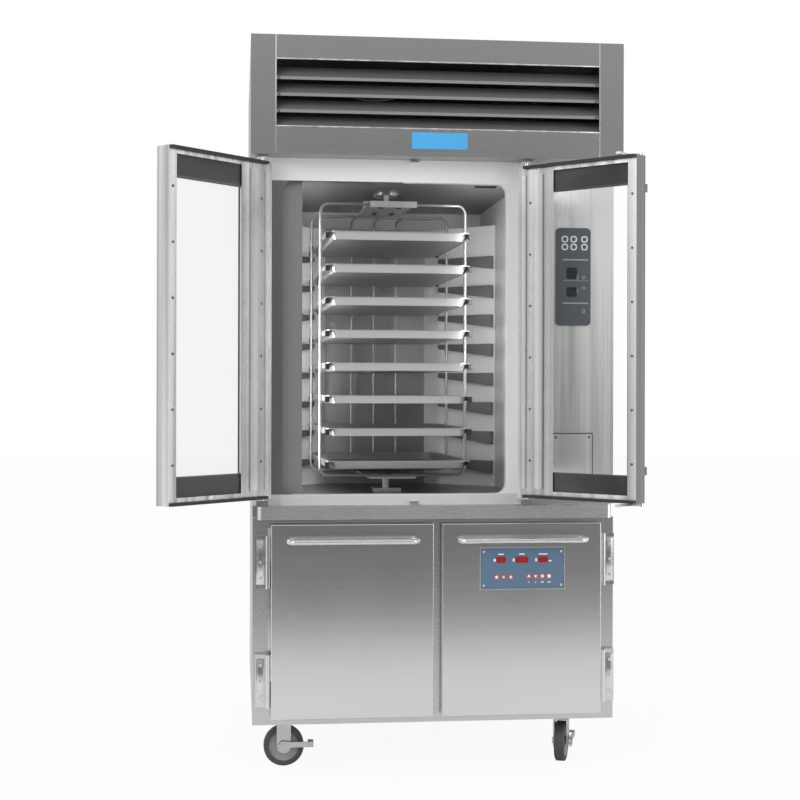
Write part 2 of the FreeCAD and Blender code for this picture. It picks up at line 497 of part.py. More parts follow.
def build_oven_body(base_wool):
    """Oven walls: outer skins, insulation, chamber liner and service bulkhead."""
    wall_z = ("ledge_top", "oven_top")
    behind = "front_y + frame_t"
    skins = [
        plate("oven_skin", ("-body_half", "sheet_t - body_half"), (behind, "back_y - sheet_t"), wall_z),
        plate("oven_skin", ("body_half - sheet_t", "body_half"),
              ("front_y + fascia_t", "back_y - sheet_t"), wall_z),
        plate("oven_skin", ("-body_half", "body_half"), ("back_y - sheet_t", "back_y"), wall_z),
        plate("oven_skin", ("room_right + sheet_t + column_wall", "room_right + 2 * sheet_t + column_wall"),
              (behind, "service_y"), ("ledge_top", "oven_top - sheet_t")),
        plate("oven_skin", ("sheet_t - body_half", "room_right + 2 * sheet_t + column_wall"),
              ("service_y", "service_y + sheet_t"), ("ledge_top", "oven_top - sheet_t")),
    ]
    shaft_hole = bar("shaft_hole", "y", "fan_shaft_r + fit_gap", "service_y - cut_over",
                     "sheet_t + 2 * cut_over",
                     ("axis_x", "fan_z"))
    skins[-1] = cut("bulkhead", skins[-1], shaft_hole)
    roof = plate("roof", ("sheet_t - body_half", "body_half - sheet_t"), (behind, "back_y - sheet_t"),
                 ("oven_top - sheet_t", "oven_top"))
    spindle_hole = bar("spindle_hole", "z", "spindle_r + fit_gap", "room_top - cut_over",
                       "chamber_roof_drop + 2 * cut_over", ("axis_x", "axis_y"))
    node("oven_skins", skins + [cut("roof_cut", roof, spindle_hole)])
    in_x = ("sheet_t - body_half", "room_right + sheet_t + column_wall")
    top_wool = plate("oven_wool", in_x, (behind, "service_y"), ("room_top + sheet_t", "oven_top - sheet_t"))
    back_wool = plate("oven_wool", in_x, ("room_back + sheet_t", "service_y"),
                      ("room_low - sheet_t", "room_top + sheet_t"))
    spindle_clear = bar("spindle_clear", "z", "ceiling_flange_r", "room_top - cut_over",
                        "chamber_roof_drop + 2 * cut_over", ("axis_x", "axis_y"))
    shaft_clear = bar("shaft_clear", "y", "fan_hub_r", "room_back - cut_over",
                      "service_y - room_back + 2 * cut_over", ("axis_x", "fan_z"))
    vent_x = ("axis_x + vent_off", "axis_x + vent_off + vent_w")
    vent_y = ("room_front + vent_in", "room_front + vent_in + vent_d")
    vent_clear = plate("vent_clear", vent_x, vent_y, ("room_top - cut_over", "room_top + vent_rise"))
    side_y = (behind, "room_back + sheet_t")
    side_z = ("room_low - sheet_t", "room_top + sheet_t")
    wool = [
        cut("top_wool", top_wool, spindle_clear, vent_clear),
        cut("back_wool", back_wool, shaft_clear),
        plate("oven_wool", ("sheet_t - body_half", "room_left - sheet_t"), side_y, side_z),
        plate("oven_wool", ("room_right + sheet_t", "room_right + sheet_t + column_wall"), side_y, side_z),
        plate("oven_wool", in_x, (behind, "service_y"), ("ledge_top", "room_low - sheet_t")),
    ]
    node("insulation", base_wool + wool)
    liner_z = ("room_low", "room_top")
    across = ("room_left - sheet_t", "room_right + sheet_t")
    ceiling = plate("ceiling", across, (behind, "room_back + sheet_t"), ("room_top", "room_top + sheet_t"))
    vent = plate("vent", vent_x, vent_y, ("room_top - cut_over", "room_top + cut_over"))
    throat = plate("vent_throat", vent_x, vent_y, ("room_top", "room_top + vent_rise"))
    throat_inside = plate("throat_inside", (f"{vent_x[0]} + sheet_t", f"{vent_x[1]} - sheet_t"),
                          (f"{vent_y[0]} + sheet_t", f"{vent_y[1]} - sheet_t"),
                          ("room_top - cut_over", "room_top + vent_rise - sheet_t"))
    back = plate("chamber_back", across, ("room_back", "room_back + sheet_t"), liner_z)
    liner_hole = bar("liner_hole", "y", "fan_shaft_r + fit_gap", "room_back - cut_over",
                     "2 * cut_over + sheet_t",
                     ("axis_x", "fan_z"))
    spindle_pass = bar("spindle_pass", "z", "spindle_r + fit_gap", "room_top - cut_over",
                       "2 * cut_over + sheet_t",
                       ("axis_x", "axis_y"))
    liner = [
        plate("chamber_wall", ("room_left - sheet_t", "room_left"), (behind, "room_back"), liner_z),
        plate("chamber_wall", ("room_right", "room_right + sheet_t"), (behind, "room_back"), liner_z),
        cut("chamber_back_cut", back, liner_hole),
        cut("ceiling_cut", ceiling, spindle_pass, vent),
        cut("throat_cut", throat, throat_inside),
        plate("chamber_floor", across, (behind, "room_back + sheet_t"), ("room_low - sheet_t", "room_low")),
        plate("front_duct", ("room_left", "room_left + front_duct_w"), (behind, f"{behind} + sheet_t"),
              liner_z),
        plate("front_duct", ("room_left + front_duct_w - sheet_t", "room_left + front_duct_w"),
              (f"{behind} + sheet_t", f"{behind} + front_duct_d"), liner_z),
        plate("front_duct", ("room_left", "room_left + front_duct_w - sheet_t"),
              (f"{behind} + front_duct_d - sheet_t", f"{behind} + front_duct_d"), liner_z),
    ]
    node("chamber_liner", liner)


def louvre_panel(side):
    """Corner duct wall set at 45 degrees, with a hooded air slot at every tray level."""
    room = "chamber_r" if side > 0 else "chamber_l"
    middle = f"{side} * scoop_shift"
    span = mirrored("duct_corner - duct_back * sqrt(2)", f"{room} * sqrt(2) - duct_corner - 2 * sheet_t",
                    side)
    wall = plate("duct_wall", span, ("duct_corner", "duct_corner + sheet_t"), ("room_low", "duct_high"))
    slots = []
    hoods = [wall]
    for level in range(int(val("scoop_count"))):
        height = f"tray_first + {level} * tray_pitch - scoop_drop"
        span = (f"{middle} - scoop_len / 2", f"{middle} + scoop_len / 2")
        slots.append(plate("slot", (f"{span[0]} + scoop_wall", f"{span[1]} - scoop_wall"),
                           ("duct_corner - cut_over", "duct_corner + cut_over"),
                           (height, f"{height} + scoop_r - scoop_wall")))
        outer = bar("hood", "x", "scoop_r", span[0], "scoop_len", ("duct_corner", height))
        inner = bar("hood_hollow", "x", "scoop_r - scoop_wall", f"{span[0]} + scoop_wall",
                    "scoop_len - 2 * scoop_wall", ("duct_corner", height))
        below = plate("hood_below", (f"{span[0]} - cut_over", f"{span[1]} + cut_over"),
                      ("duct_corner - scoop_r - cut_over", "duct_corner + scoop_r + cut_over"),
                      (f"{height} - scoop_r - cut_over", height))
        back = plate("hood_back", (f"{span[0]} - cut_over", f"{span[1]} + cut_over"),
                     ("duct_corner", "duct_corner + scoop_r + cut_over"),
                     (f"{height} - cut_over", f"{height} + scoop_r + cut_over"))
        hoods.append(cut("hood_cut", outer, inner, below, back))
    welded = fuse("duct_weld", *hoods)
    tools = new("Part::MultiFuse", "slot_tools")
    tools.Shapes = slots
    return cut("louvre", welded, tools)


def build_ducts():
    """Octagonal rear duct walls round the turning rack."""
    flat = plate("duct_flat", ("axis_x - duct_flat_half", "axis_x + duct_flat_half"),
                 ("axis_y + duct_back", "axis_y + duct_back + sheet_t"), ("room_low", "duct_high"))
    fold = plate("duct_fold", ("axis_x - duct_flat_half", "axis_x + duct_flat_half"),
                 ("axis_y + duct_back", "axis_y + duct_back + duct_fold"),
                 ("duct_high", "duct_high + sheet_t"))
    corners = [hung("duct_corner_wall", [louvre_panel(side)], f"{-side} * duct_turn",
                    ("axis_x", "axis_y", "0"))
               for side in (1, -1)]
    node("duct_panels", [flat, fold] + corners)


def build_fan_and_drive():
    """Circulation fan with heaters, its motor, and the rack's gearmotor and bearings."""
    fan_back = "room_back - fan_gap"
    fan_front = f"{fan_back} - fan_w"
    place = ("axis_x", "fan_z")
    disc = bar("fan_disc", "y", "fan_r", f"{fan_back} - fan_disc_t", "fan_disc_t", place)
    hub = bar("fan_hub", "y", "fan_hub_r", fan_front, "fan_w", place)
    shaft = bar("fan_shaft", "y", "fan_shaft_r", fan_back, "fan_gap + service_y - room_back + sheet_t",
                place)
    blades = []
    count = int(val("fan_blades"))
    for index in range(count):
        blade = new("Part::Box", "fan_blade")
        turn = Rotation(Vector(0, 1, 0), 360.0 * index / count)
        blade.Placement = Placement(Vector(), turn)
        bind(blade, Length="fan_r - fan_hub_r + fan_disc_t", Width="fan_w", Height="fan_blade_t")
        way = turn.multVec(Vector(1, 0, 0))
        up = turn.multVec(Vector(0, 0, 1))
        bind(blade, x=f"axis_x + ({way.x}) * (fan_hub_r - fan_disc_t) - ({up.x}) * fan_blade_t / 2",
             y=fan_front,
             z=f"fan_z + ({way.z}) * (fan_hub_r - fan_disc_t) - ({up.z}) * fan_blade_t / 2")
        blades.append(blade)
    node("fan_impeller", [fuse("fan_weld", disc, hub, shaft, *blades)])
    motor_y = "service_y + sheet_t"
    flange = bar("motor_flange", "y", "motor_flange_r", motor_y, "motor_flange_t", place)
    can = bar("motor_can", "y", "fan_motor_r", motor_y, "fan_motor_len", place)
    node("fan_motor", [fuse("motor_weld", flange, can)])
    rear_coil = f"{fan_back} - fan_disc_t"
    front_coil = f"{rear_coil} - heater_pitch"
    coils = [ring("heater", "y", "heater_r", "heater_tube_r", ("axis_x", level, "fan_z"))
             for level in (rear_coil, front_coil)]
    legs = [bar("heater_leg", "y", "heater_leg_r", front_coil, f"room_back - ({front_coil})",
                (f"axis_x + {side} * heater_leg", "fan_z + sqrt(heater_r ^ 2 - heater_leg ^ 2)"))
            for side in (-1, 1)]
    node("heater_elements", [fuse("heater_weld", *coils, *legs)])
    gear_at = ("axis_x - gear_w / 2", "axis_x + gear_w / 2")
    box = plate("gearbox", gear_at, ("axis_y - gear_d / 2", "axis_y + gear_d / 2"),
                ("oven_top", "oven_top + gear_h"))
    bore = bar("gear_bore", "z", "spindle_r + spindle_fit", "oven_top - cut_over",
               "gear_h - sheet_t + cut_over",
               ("axis_x", "axis_y"))
    motor = bar("drive_motor", "y", "drive_motor_r", "axis_y + gear_d / 2", "drive_motor_len",
                ("axis_x", "oven_top + drive_motor_r + sheet_t"))
    node("rack_gearmotor", [cut("gear_cut", fuse("gear_weld", box, motor), bore)])
    flange = bar("ceiling_flange", "z", "ceiling_flange_r", "room_top - ceiling_flange_t",
                 "ceiling_flange_t",
                 ("axis_x", "axis_y"))
    flange_bore = bar("flange_bore", "z", "spindle_r + spindle_fit",
                      "room_top - ceiling_flange_t - cut_over",
                      "ceiling_flange_t + 2 * cut_over", ("axis_x", "axis_y"))
    foot = plate("foot", ("axis_x - foot_plate_half", "axis_x + foot_plate_half"),
                 ("axis_y - foot_plate_half", "axis_y + foot_plate_half"),
                 ("room_low", "room_low + foot_plate_h"))
    foot_bore = bar("foot_bore", "z", "foot_pin_r + spindle_fit", "room_low + sheet_t",
                    "foot_plate_h + cut_over",
                    ("axis_x", "axis_y"))
    node("rack_bearings", [cut("flange_cut", flange, flange_bore), cut("foot_cut", foot, foot_bore)])


def build_front():
    """Oven front: welded door frame with a raised rim, control column, cover and panel."""
    body = new("PartDesign::Body", "front_frame")
    wide = (val("frame_left_x"), val("frame_right_x"))
    high = (val("ledge_top"), val("oven_top"))
    opening = (val("open_left"), val("open_low"), val("open_right"), val("open_high"))
    face = sketch_on(body, "frame_face", "XZ_Plane", "-front_y")
    rounded_rectangle(face, wide[0], high[0], wide[1], high[1], 0)
    rounded_rectangle(face, *opening, val("opening_r"))
    pad(body, face, "frame_pad", "frame_t", True)
    rim = sketch_on(body, "frame_rim", "XZ_Plane", "-front_y")
    edge = val("rim_w")
    grown = (opening[0] - edge, opening[1] - edge, opening[2] + edge, opening[3] + edge)
    rounded_rectangle(rim, *grown, val("opening_r") + edge)
    rounded_rectangle(rim, *opening, val("opening_r"))
    pad(body, rim, "rim_pad", "rim_out")
    wall = val("frame_wall")
    channel = sketch_on(body, "frame_channel", "XZ_Plane", "-front_y - frame_t")
    rounded_rectangle(channel, wide[0] + wall, high[0] + wall, wide[1] - wall, high[1] - wall, 0)
    rounded_rectangle(channel, opening[0] - wall, opening[1] - wall, opening[2] + wall, opening[3] + wall,
                      val("opening_r") + wall)
    hollow = body.newObject("PartDesign::Pocket", "frame_hollow")
    hollow.Profile = channel
    hollow.setExpression("Length", ref("frame_t - frame_wall"))
    node("oven_front_frame", [body])
    left = "frame_right_x + fascia_gap"
    fascia = plate("fascia", (left, "body_half"), ("front_y", "front_y + sheet_t"),
                   ("ledge_top", "oven_top"))
    returns = [plate("fascia_return", (low, f"{low} + sheet_t"),
                     ("front_y + sheet_t", "front_y + fascia_t"),
                     ("ledge_top", "oven_top")) for low in (left, "body_half - sheet_t")]
    panel = plate("panel", ("panel_left", "panel_left + panel_w"), ("front_y - panel_t", "front_y"),
                  ("panel_low", "panel_low + panel_h"))
    doc.recompute()
    soft = new("Part::Fillet", "panel_soft")
    soft.Base = panel
    soft.Edges = [(index + 1, val("panel_r"), val("panel_r")) for index,
                  edge in enumerate(panel.Shape.Edges)
                  if edge.BoundBox.YLength > val("panel_t") / 2]
    node("oven_control_panel", [soft])
    cover = plate("cover", ("cover_left", "cover_left + cover_w"), ("front_y - cover_t", "front_y"),
                  ("cover_low", "cover_low + cover_h"))
    lip = plate("cover_lip", ("cover_left", "cover_left + cover_w"), ("front_y - cover_t", "front_y"),
                ("cover_low + cover_h + cover_slot", "cover_low + cover_h + 2 * cover_slot"))
    node("column_fascia", [fascia] + returns + [cover, lip])
    rack = plate("electrics", ("body_half - sheet_t - electrics_w", "body_half - sheet_t"),
                 ("front_y + electrics_back", "front_y + electrics_back + electrics_d"),
                 ("panel_low", "panel_low + electrics_h"))
    inside = plate("electrics_hollow", ("body_half - electrics_w", "body_half - 2 * sheet_t"),
                   ("front_y + electrics_back + sheet_t",
                    "front_y + electrics_back + electrics_d - sheet_t"),
                   ("panel_low + sheet_t", "panel_low + electrics_h - sheet_t"))
    node("electrics_box", [cut("electrics_cut", rack, inside)])


def build_door_fittings():
    """Pivot brackets with pins for both oven doors, and the latch keepers."""
    fittings = []
    for pivot in ("pivot_left_x", "pivot_right_x"):
        reach = ("door_pivot_y - pivot_front", "front_y")
        span = (f"{pivot} - pivot_plate_w / 2", f"{pivot} + pivot_plate_w / 2")
        stand = plate("pivot_foot", span, reach, ("ledge_top", "ledge_top + pivot_foot_h"))
        pin = bar("pivot_pin", "z", "pivot_pin_r", "ledge_top + pivot_foot_h - pivot_plate_t",
                  "door_rise + pivot_pin_in - pivot_foot_h + pivot_plate_t", (pivot, "door_pivot_y"))
        fittings.append(fuse("low_pivot", stand, pin))
        head = plate("pivot_head", span, reach, ("oven_top - pivot_plate_t", "oven_top"))
        top_pin = bar("pivot_pin", "z", "pivot_pin_r", "door_high - pivot_pin_in",
                      "door_drop + pivot_pin_in - pivot_plate_t / 2", (pivot, "door_pivot_y"))
        fittings.append(fuse("top_pivot", head, top_pin))
    latch_x = "pivot_right_x - door_reach + latch_in + hook_arm"
    span = (f"{latch_x} - keeper_w / 2", f"{latch_x} + keeper_w / 2")
    top_hook = "door_high + hook_gap + hook_t"
    low_hook = "door_low - hook_gap - hook_t"
    keepers = [
        plate("keeper", span, ("front_y - keeper_out", "front_y"),
              (f"{top_hook} + keeper_gap", f"{top_hook} + keeper_gap + keeper_t")),
        plate("keeper", span, ("front_y - keeper_out", "front_y"),
              (f"{low_hook} - keeper_gap - keeper_t", f"{low_hook} - keeper_gap")),
    ]
    node("frame_hardware", fittings + keepers)


def build_oven_door(name, side, outside=()):
    """One glazed oven door, drawn closed round its pivot and hung in the open pose."""
    turn = "-door_swing" if side > 0 else "door_swing"
    at = ("pivot_left_x" if side > 0 else "pivot_right_x", "door_pivot_y", "0")
    half = "door_t / 2"
    width = mirrored("-door_edge", "door_reach", side)
    leaf = plate("leaf", width, (f"-{half}", half), ("door_low", "door_high"))
    hollow = plate("leaf_hollow", mirrored("sheet_t - door_edge", "door_reach - sheet_t", side),
                   (f"sheet_t - {half}", f"{half} + cut_over"),
                   ("door_low + sheet_t", "door_high - sheet_t"))
    window = plate("window", mirrored("hinge_stile", "door_reach - free_stile", side),
                   (f"-{half} - cut_over", f"{half} + cut_over"),
                   ("door_low + low_band", "door_high - top_band"))
    bushes = [bar("pin_hole", "z", "pivot_pin_r + pivot_fit", start, "pivot_pin_in + 2 * cut_over",
                  ("0", "0"))
              for start in ("door_low - cut_over", "door_high - pivot_pin_in - cut_over")]
    skin = cut("skin", leaf, hollow, window, *bushes)
    inner_y = (f"{half} - sheet_t", half)
    sheet_plate = plate("inner_plate", mirrored("sheet_t - door_edge", "door_reach - sheet_t", side),
                        inner_y,
                        ("door_low + sheet_t", "door_high - sheet_t"))
    sight = plate("sight", mirrored("inner_stile", "door_reach - inner_free", side),
                  (f"{half} - sheet_t - cut_over", f"{half} + cut_over"),
                  ("door_low + inner_low", "door_high - inner_top"))
    inner_frame = cut("inner_frame", sheet_plate, sight)
    outer_pane = plate("pane", mirrored("hinge_stile - glass_lap", "door_reach - free_stile + glass_lap",
                                        side),
                       (f"sheet_t - {half}", f"sheet_t + glass_t - {half}"),
                       ("door_low + low_band - glass_lap", "door_high - top_band + glass_lap"))
    inner_pane = plate("pane", mirrored("inner_stile - glass_lap", "door_reach - inner_free + glass_lap",
                                        side),
                       (f"{half} - sheet_t - glass_t", f"{half} - sheet_t"),
                       ("door_low + inner_low - glass_lap", "door_high - inner_top + glass_lap"))
    node(f"{name}_glass", [outer_pane, inner_pane], turn, at)
    core_y = (f"sheet_t + glass_t - {half}", f"{half} - sheet_t - glass_t")
    core = plate("core", mirrored("sheet_t - door_edge", "door_reach - sheet_t", side), core_y,
                 ("door_low + sheet_t", "door_high - sheet_t"))
    core_window = plate("core_window", mirrored("hinge_stile", "door_reach - free_stile", side),
                        (f"-{half}", half), ("door_low + low_band", "door_high - top_band"))
    sockets = [bar("bush_hole", "z", "bush_r", start, "pivot_pin_in + 2 * cut_over", ("0", "0"))
               for start in ("door_low - cut_over", "door_high - pivot_pin_in - cut_over")]
    node(f"{name}_core", [cut("core_cut", core, core_window, *sockets)], turn, at)
    tubes = []
    for start in ("door_low + sheet_t", "door_high - sheet_t - pivot_pin_in"):
        tube = bar("bush", "z", "bush_r", start, "pivot_pin_in", ("0", "0"))
        bore = bar("bush_bore", "z", "pivot_pin_r + pivot_fit", f"{start} - cut_over",
                   "pivot_pin_in + 2 * cut_over", ("0", "0"))
        tubes.append(cut("bush_cut", tube, bore))
    node(f"{name}_shell", [skin, inner_frame] + tubes + list(outside), turn, at)
    seal_x = mirrored("door_edge", "door_reach - door_seal_inset", side)
    seals = [plate("seal", seal_x, (half, f"{half} + door_seal_t"), (low, f"{low} + door_seal_w"))
             for low in ("door_low + door_seal_inset", "door_high - door_seal_inset - door_seal_w")]
    node(f"{name}_gasket", seals, turn, at)


def build_latch():
    """Latch of the right oven door: vertical rod with a hook at each end and a hand lever, in two guides."""
    at = ("pivot_right_x", "door_pivot_y", "0")
    rod_x = "latch_in - door_reach"
    rod_y = "-door_t / 2 - latch_off"
    place = (rod_x, rod_y)
    top = "door_high + hook_gap"
    low = "door_low - hook_gap - hook_t"
    rod = bar("latch_rod", "z", "latch_rod_r", low, f"{top} + hook_t - ({low})", place)
    hook_x = f"{rod_x} + hook_arm"
    hooks = [plate("hook", (f"{hook_x} - hook_w / 2", f"{hook_x} + hook_w / 2"),
                   (f"{rod_y} - hook_w / 2", f"{rod_y} + hook_len"),
                   (start, f"{start} + hook_t")) for start in (top, low)]
    arms = [plate("hook_arm", (rod_x, hook_x), (f"{rod_y} - hook_w / 2", f"{rod_y} + hook_w / 2"),
                  (start, f"{start} + hook_t")) for start in (top, low)]
    ends = [bar("hook_end", "z", "hook_w / 2", start, "hook_t", place) for start in (top, low)]
    grip = bar("grip", "z", "lever_r", "lever_z - lever_len / 2", "lever_len",
               (f"{rod_x} + lever_side", f"{rod_y} - lever_rise"))
    stems = []
    for end in (-1, 1):
        middle = f"lever_z + {end} * (lever_len / 2 - lever_r)"
        stems.append(plate("grip_stem", (rod_x, f"{rod_x} + lever_side"),
                           (f"{rod_y} - latch_rod_r / 2", f"{rod_y} + latch_rod_r / 2"),
                           (f"{middle} - latch_rod_r / 2", f"{middle} + latch_rod_r / 2")))
        stems.append(plate("grip_stem",
                           (f"{rod_x} + lever_side - latch_rod_r / 2",
                            f"{rod_x} + lever_side + latch_rod_r / 2"),
                           (f"{rod_y} - lever_rise", f"{rod_y} + latch_rod_r / 2"),
                           (f"{middle} - latch_rod_r / 2", f"{middle} + latch_rod_r / 2")))
    node("door_latch", [fuse("latch_weld", rod, *hooks, *arms, *ends, grip, *stems)], "door_swing", at)
    guides = []
    for start in ("door_low + top_band", "door_high - top_band - guide_h"):
        block = plate("guide", (f"{rod_x} - guide_w / 2", f"{rod_x} + guide_w / 2"),
                      (f"{rod_y} - latch_rod_r - sheet_t", "-door_t / 2"), (start, f"{start} + guide_h"))
        bore = bar("guide_bore", "z", "latch_rod_r + latch_fit", f"{start} - cut_over",
                   "guide_h + 2 * cut_over", place)
        guides.append(cut("guide_cut", block, bore))
    return guides


def build_canopy():
    """Canopy over the oven: framed front with slanted louvre blades, casing panels, bare plate and flue."""
    face_y = ("canopy_front", "canopy_front + canopy_face_t")
    post_in = "canopy_half - canopy_post"
    rail_x = (f"canopy_seam - ({post_in})", f"{post_in} - canopy_seam")
    whole_z = ("oven_top", "canopy_top")
    faces = [
        plate("canopy_face", ("-canopy_half", f"-({post_in})"), face_y, whole_z),
        plate("canopy_face", (post_in, "canopy_half"), face_y, whole_z),
        plate("canopy_face", rail_x, face_y, ("oven_top", "oven_top + canopy_low_rail")),
        plate("canopy_face", rail_x, face_y, ("canopy_top - canopy_top_rail", "canopy_top")),
    ]
    backing = [plate("face_strip",
                     (f"{side} * ({post_in}) - canopy_post / 4", f"{side} * ({post_in}) + canopy_post / 4"),
                     ("canopy_front + canopy_face_t", "canopy_front + canopy_face_t + sheet_t"), span)
               for side in (-1, 1)
               for span in (("oven_top + sheet_t", "oven_top + canopy_low_rail"),
                            ("canopy_top - canopy_top_rail", "canopy_top - sheet_t"))]
    node("canopy_fascia", faces + backing)
    inside_y = ("canopy_front + canopy_face_t", "back_y - sheet_t")
    side_z = ("oven_top", "canopy_top - sheet_t")
    casing = [
        plate("canopy_side", ("-canopy_half", "sheet_t - canopy_half"), inside_y, side_z),
        plate("canopy_side", ("canopy_half - sheet_t", "canopy_half"), inside_y, side_z),
        plate("canopy_back", ("-canopy_half", "canopy_half"), ("back_y - sheet_t", "back_y"), side_z),
        plate("canopy_under", ("sheet_t - canopy_half", "canopy_half - sheet_t"),
              ("canopy_front + canopy_face_t", "front_y + frame_t"), ("oven_top", "oven_top + sheet_t")),
    ]
    top = plate("canopy_top", ("-canopy_half", "canopy_half"), ("canopy_front + canopy_face_t", "back_y"),
                ("canopy_top - sheet_t", "canopy_top"))
    flue_at = ("axis_x", "front_y + flue_in")
    mouth = bar("flue_mouth", "z", "flue_r - flue_wall", "canopy_top - cut_over", "2 * cut_over", flue_at)
    node("canopy_casing", casing + [cut("canopy_top_cut", top, mouth)])
    blades = []
    count = int(val("blade_count"))
    pitch = f"(canopy_h - canopy_low_rail - canopy_top_rail) / {count}"
    tilt = math.radians(val("blade_tilt"))
    for index in range(count):
        body = new("PartDesign::Body", "blade")
        section = sketch_on(body, f"blade_section_{index}", "YZ_Plane", f"-({post_in}) - canopy_post / 4")
        thick, lip, deep = val("blade_t"), val("blade_lip"), val("blade_deep")
        rise, run = deep * math.sin(tilt), deep * math.cos(tilt)
        chain(section, [(0, 0), (thick, 0), (thick, lip - thick), (thick + run, lip - thick + rise),
                        (thick + run, lip + rise), (0, lip)])
        pad(body, section, f"blade_pad_{index}", f"2 * ({post_in}) + canopy_post / 2")
        bind(body, y="canopy_front + canopy_face_t + sheet_t + blade_back",
             z=f"oven_top + canopy_low_rail - blade_lip + {index} * {pitch}")
        blades.append(body)
    blade_end = f"{post_in} + canopy_post / 4"
    stays = [plate("blade_stay", mirrored(blade_end, f"{blade_end} + sheet_t", side),
                   ("canopy_front + canopy_face_t", "canopy_front + canopy_face_t + blade_deep"),
                   ("oven_top + sheet_t", "canopy_top - sheet_t")) for side in (-1, 1)]
    node("louvre_blades", blades + stays)
    name = plate("name", ("-name_w / 2", "name_w / 2"), ("canopy_front - name_t", "canopy_front"),
                 ("oven_top + name_rise", "oven_top + name_rise + name_h"))
    node("name_plate", [name])
    spigot = bar("flue", "z", "flue_r", "canopy_top", "flue_h", flue_at)
    flange = bar("flue_flange", "z", "flue_r + flue_flange", "canopy_top", "flue_flange_t", flue_at)
    hole = bar("flue_hole", "z", "flue_r - flue_wall", "canopy_top - cut_over", "flue_h + 2 * cut_over",
               flue_at)
    node("flue_spigot", [cut("flue_cut", fuse("flue_weld", spigot, flange), hole)])


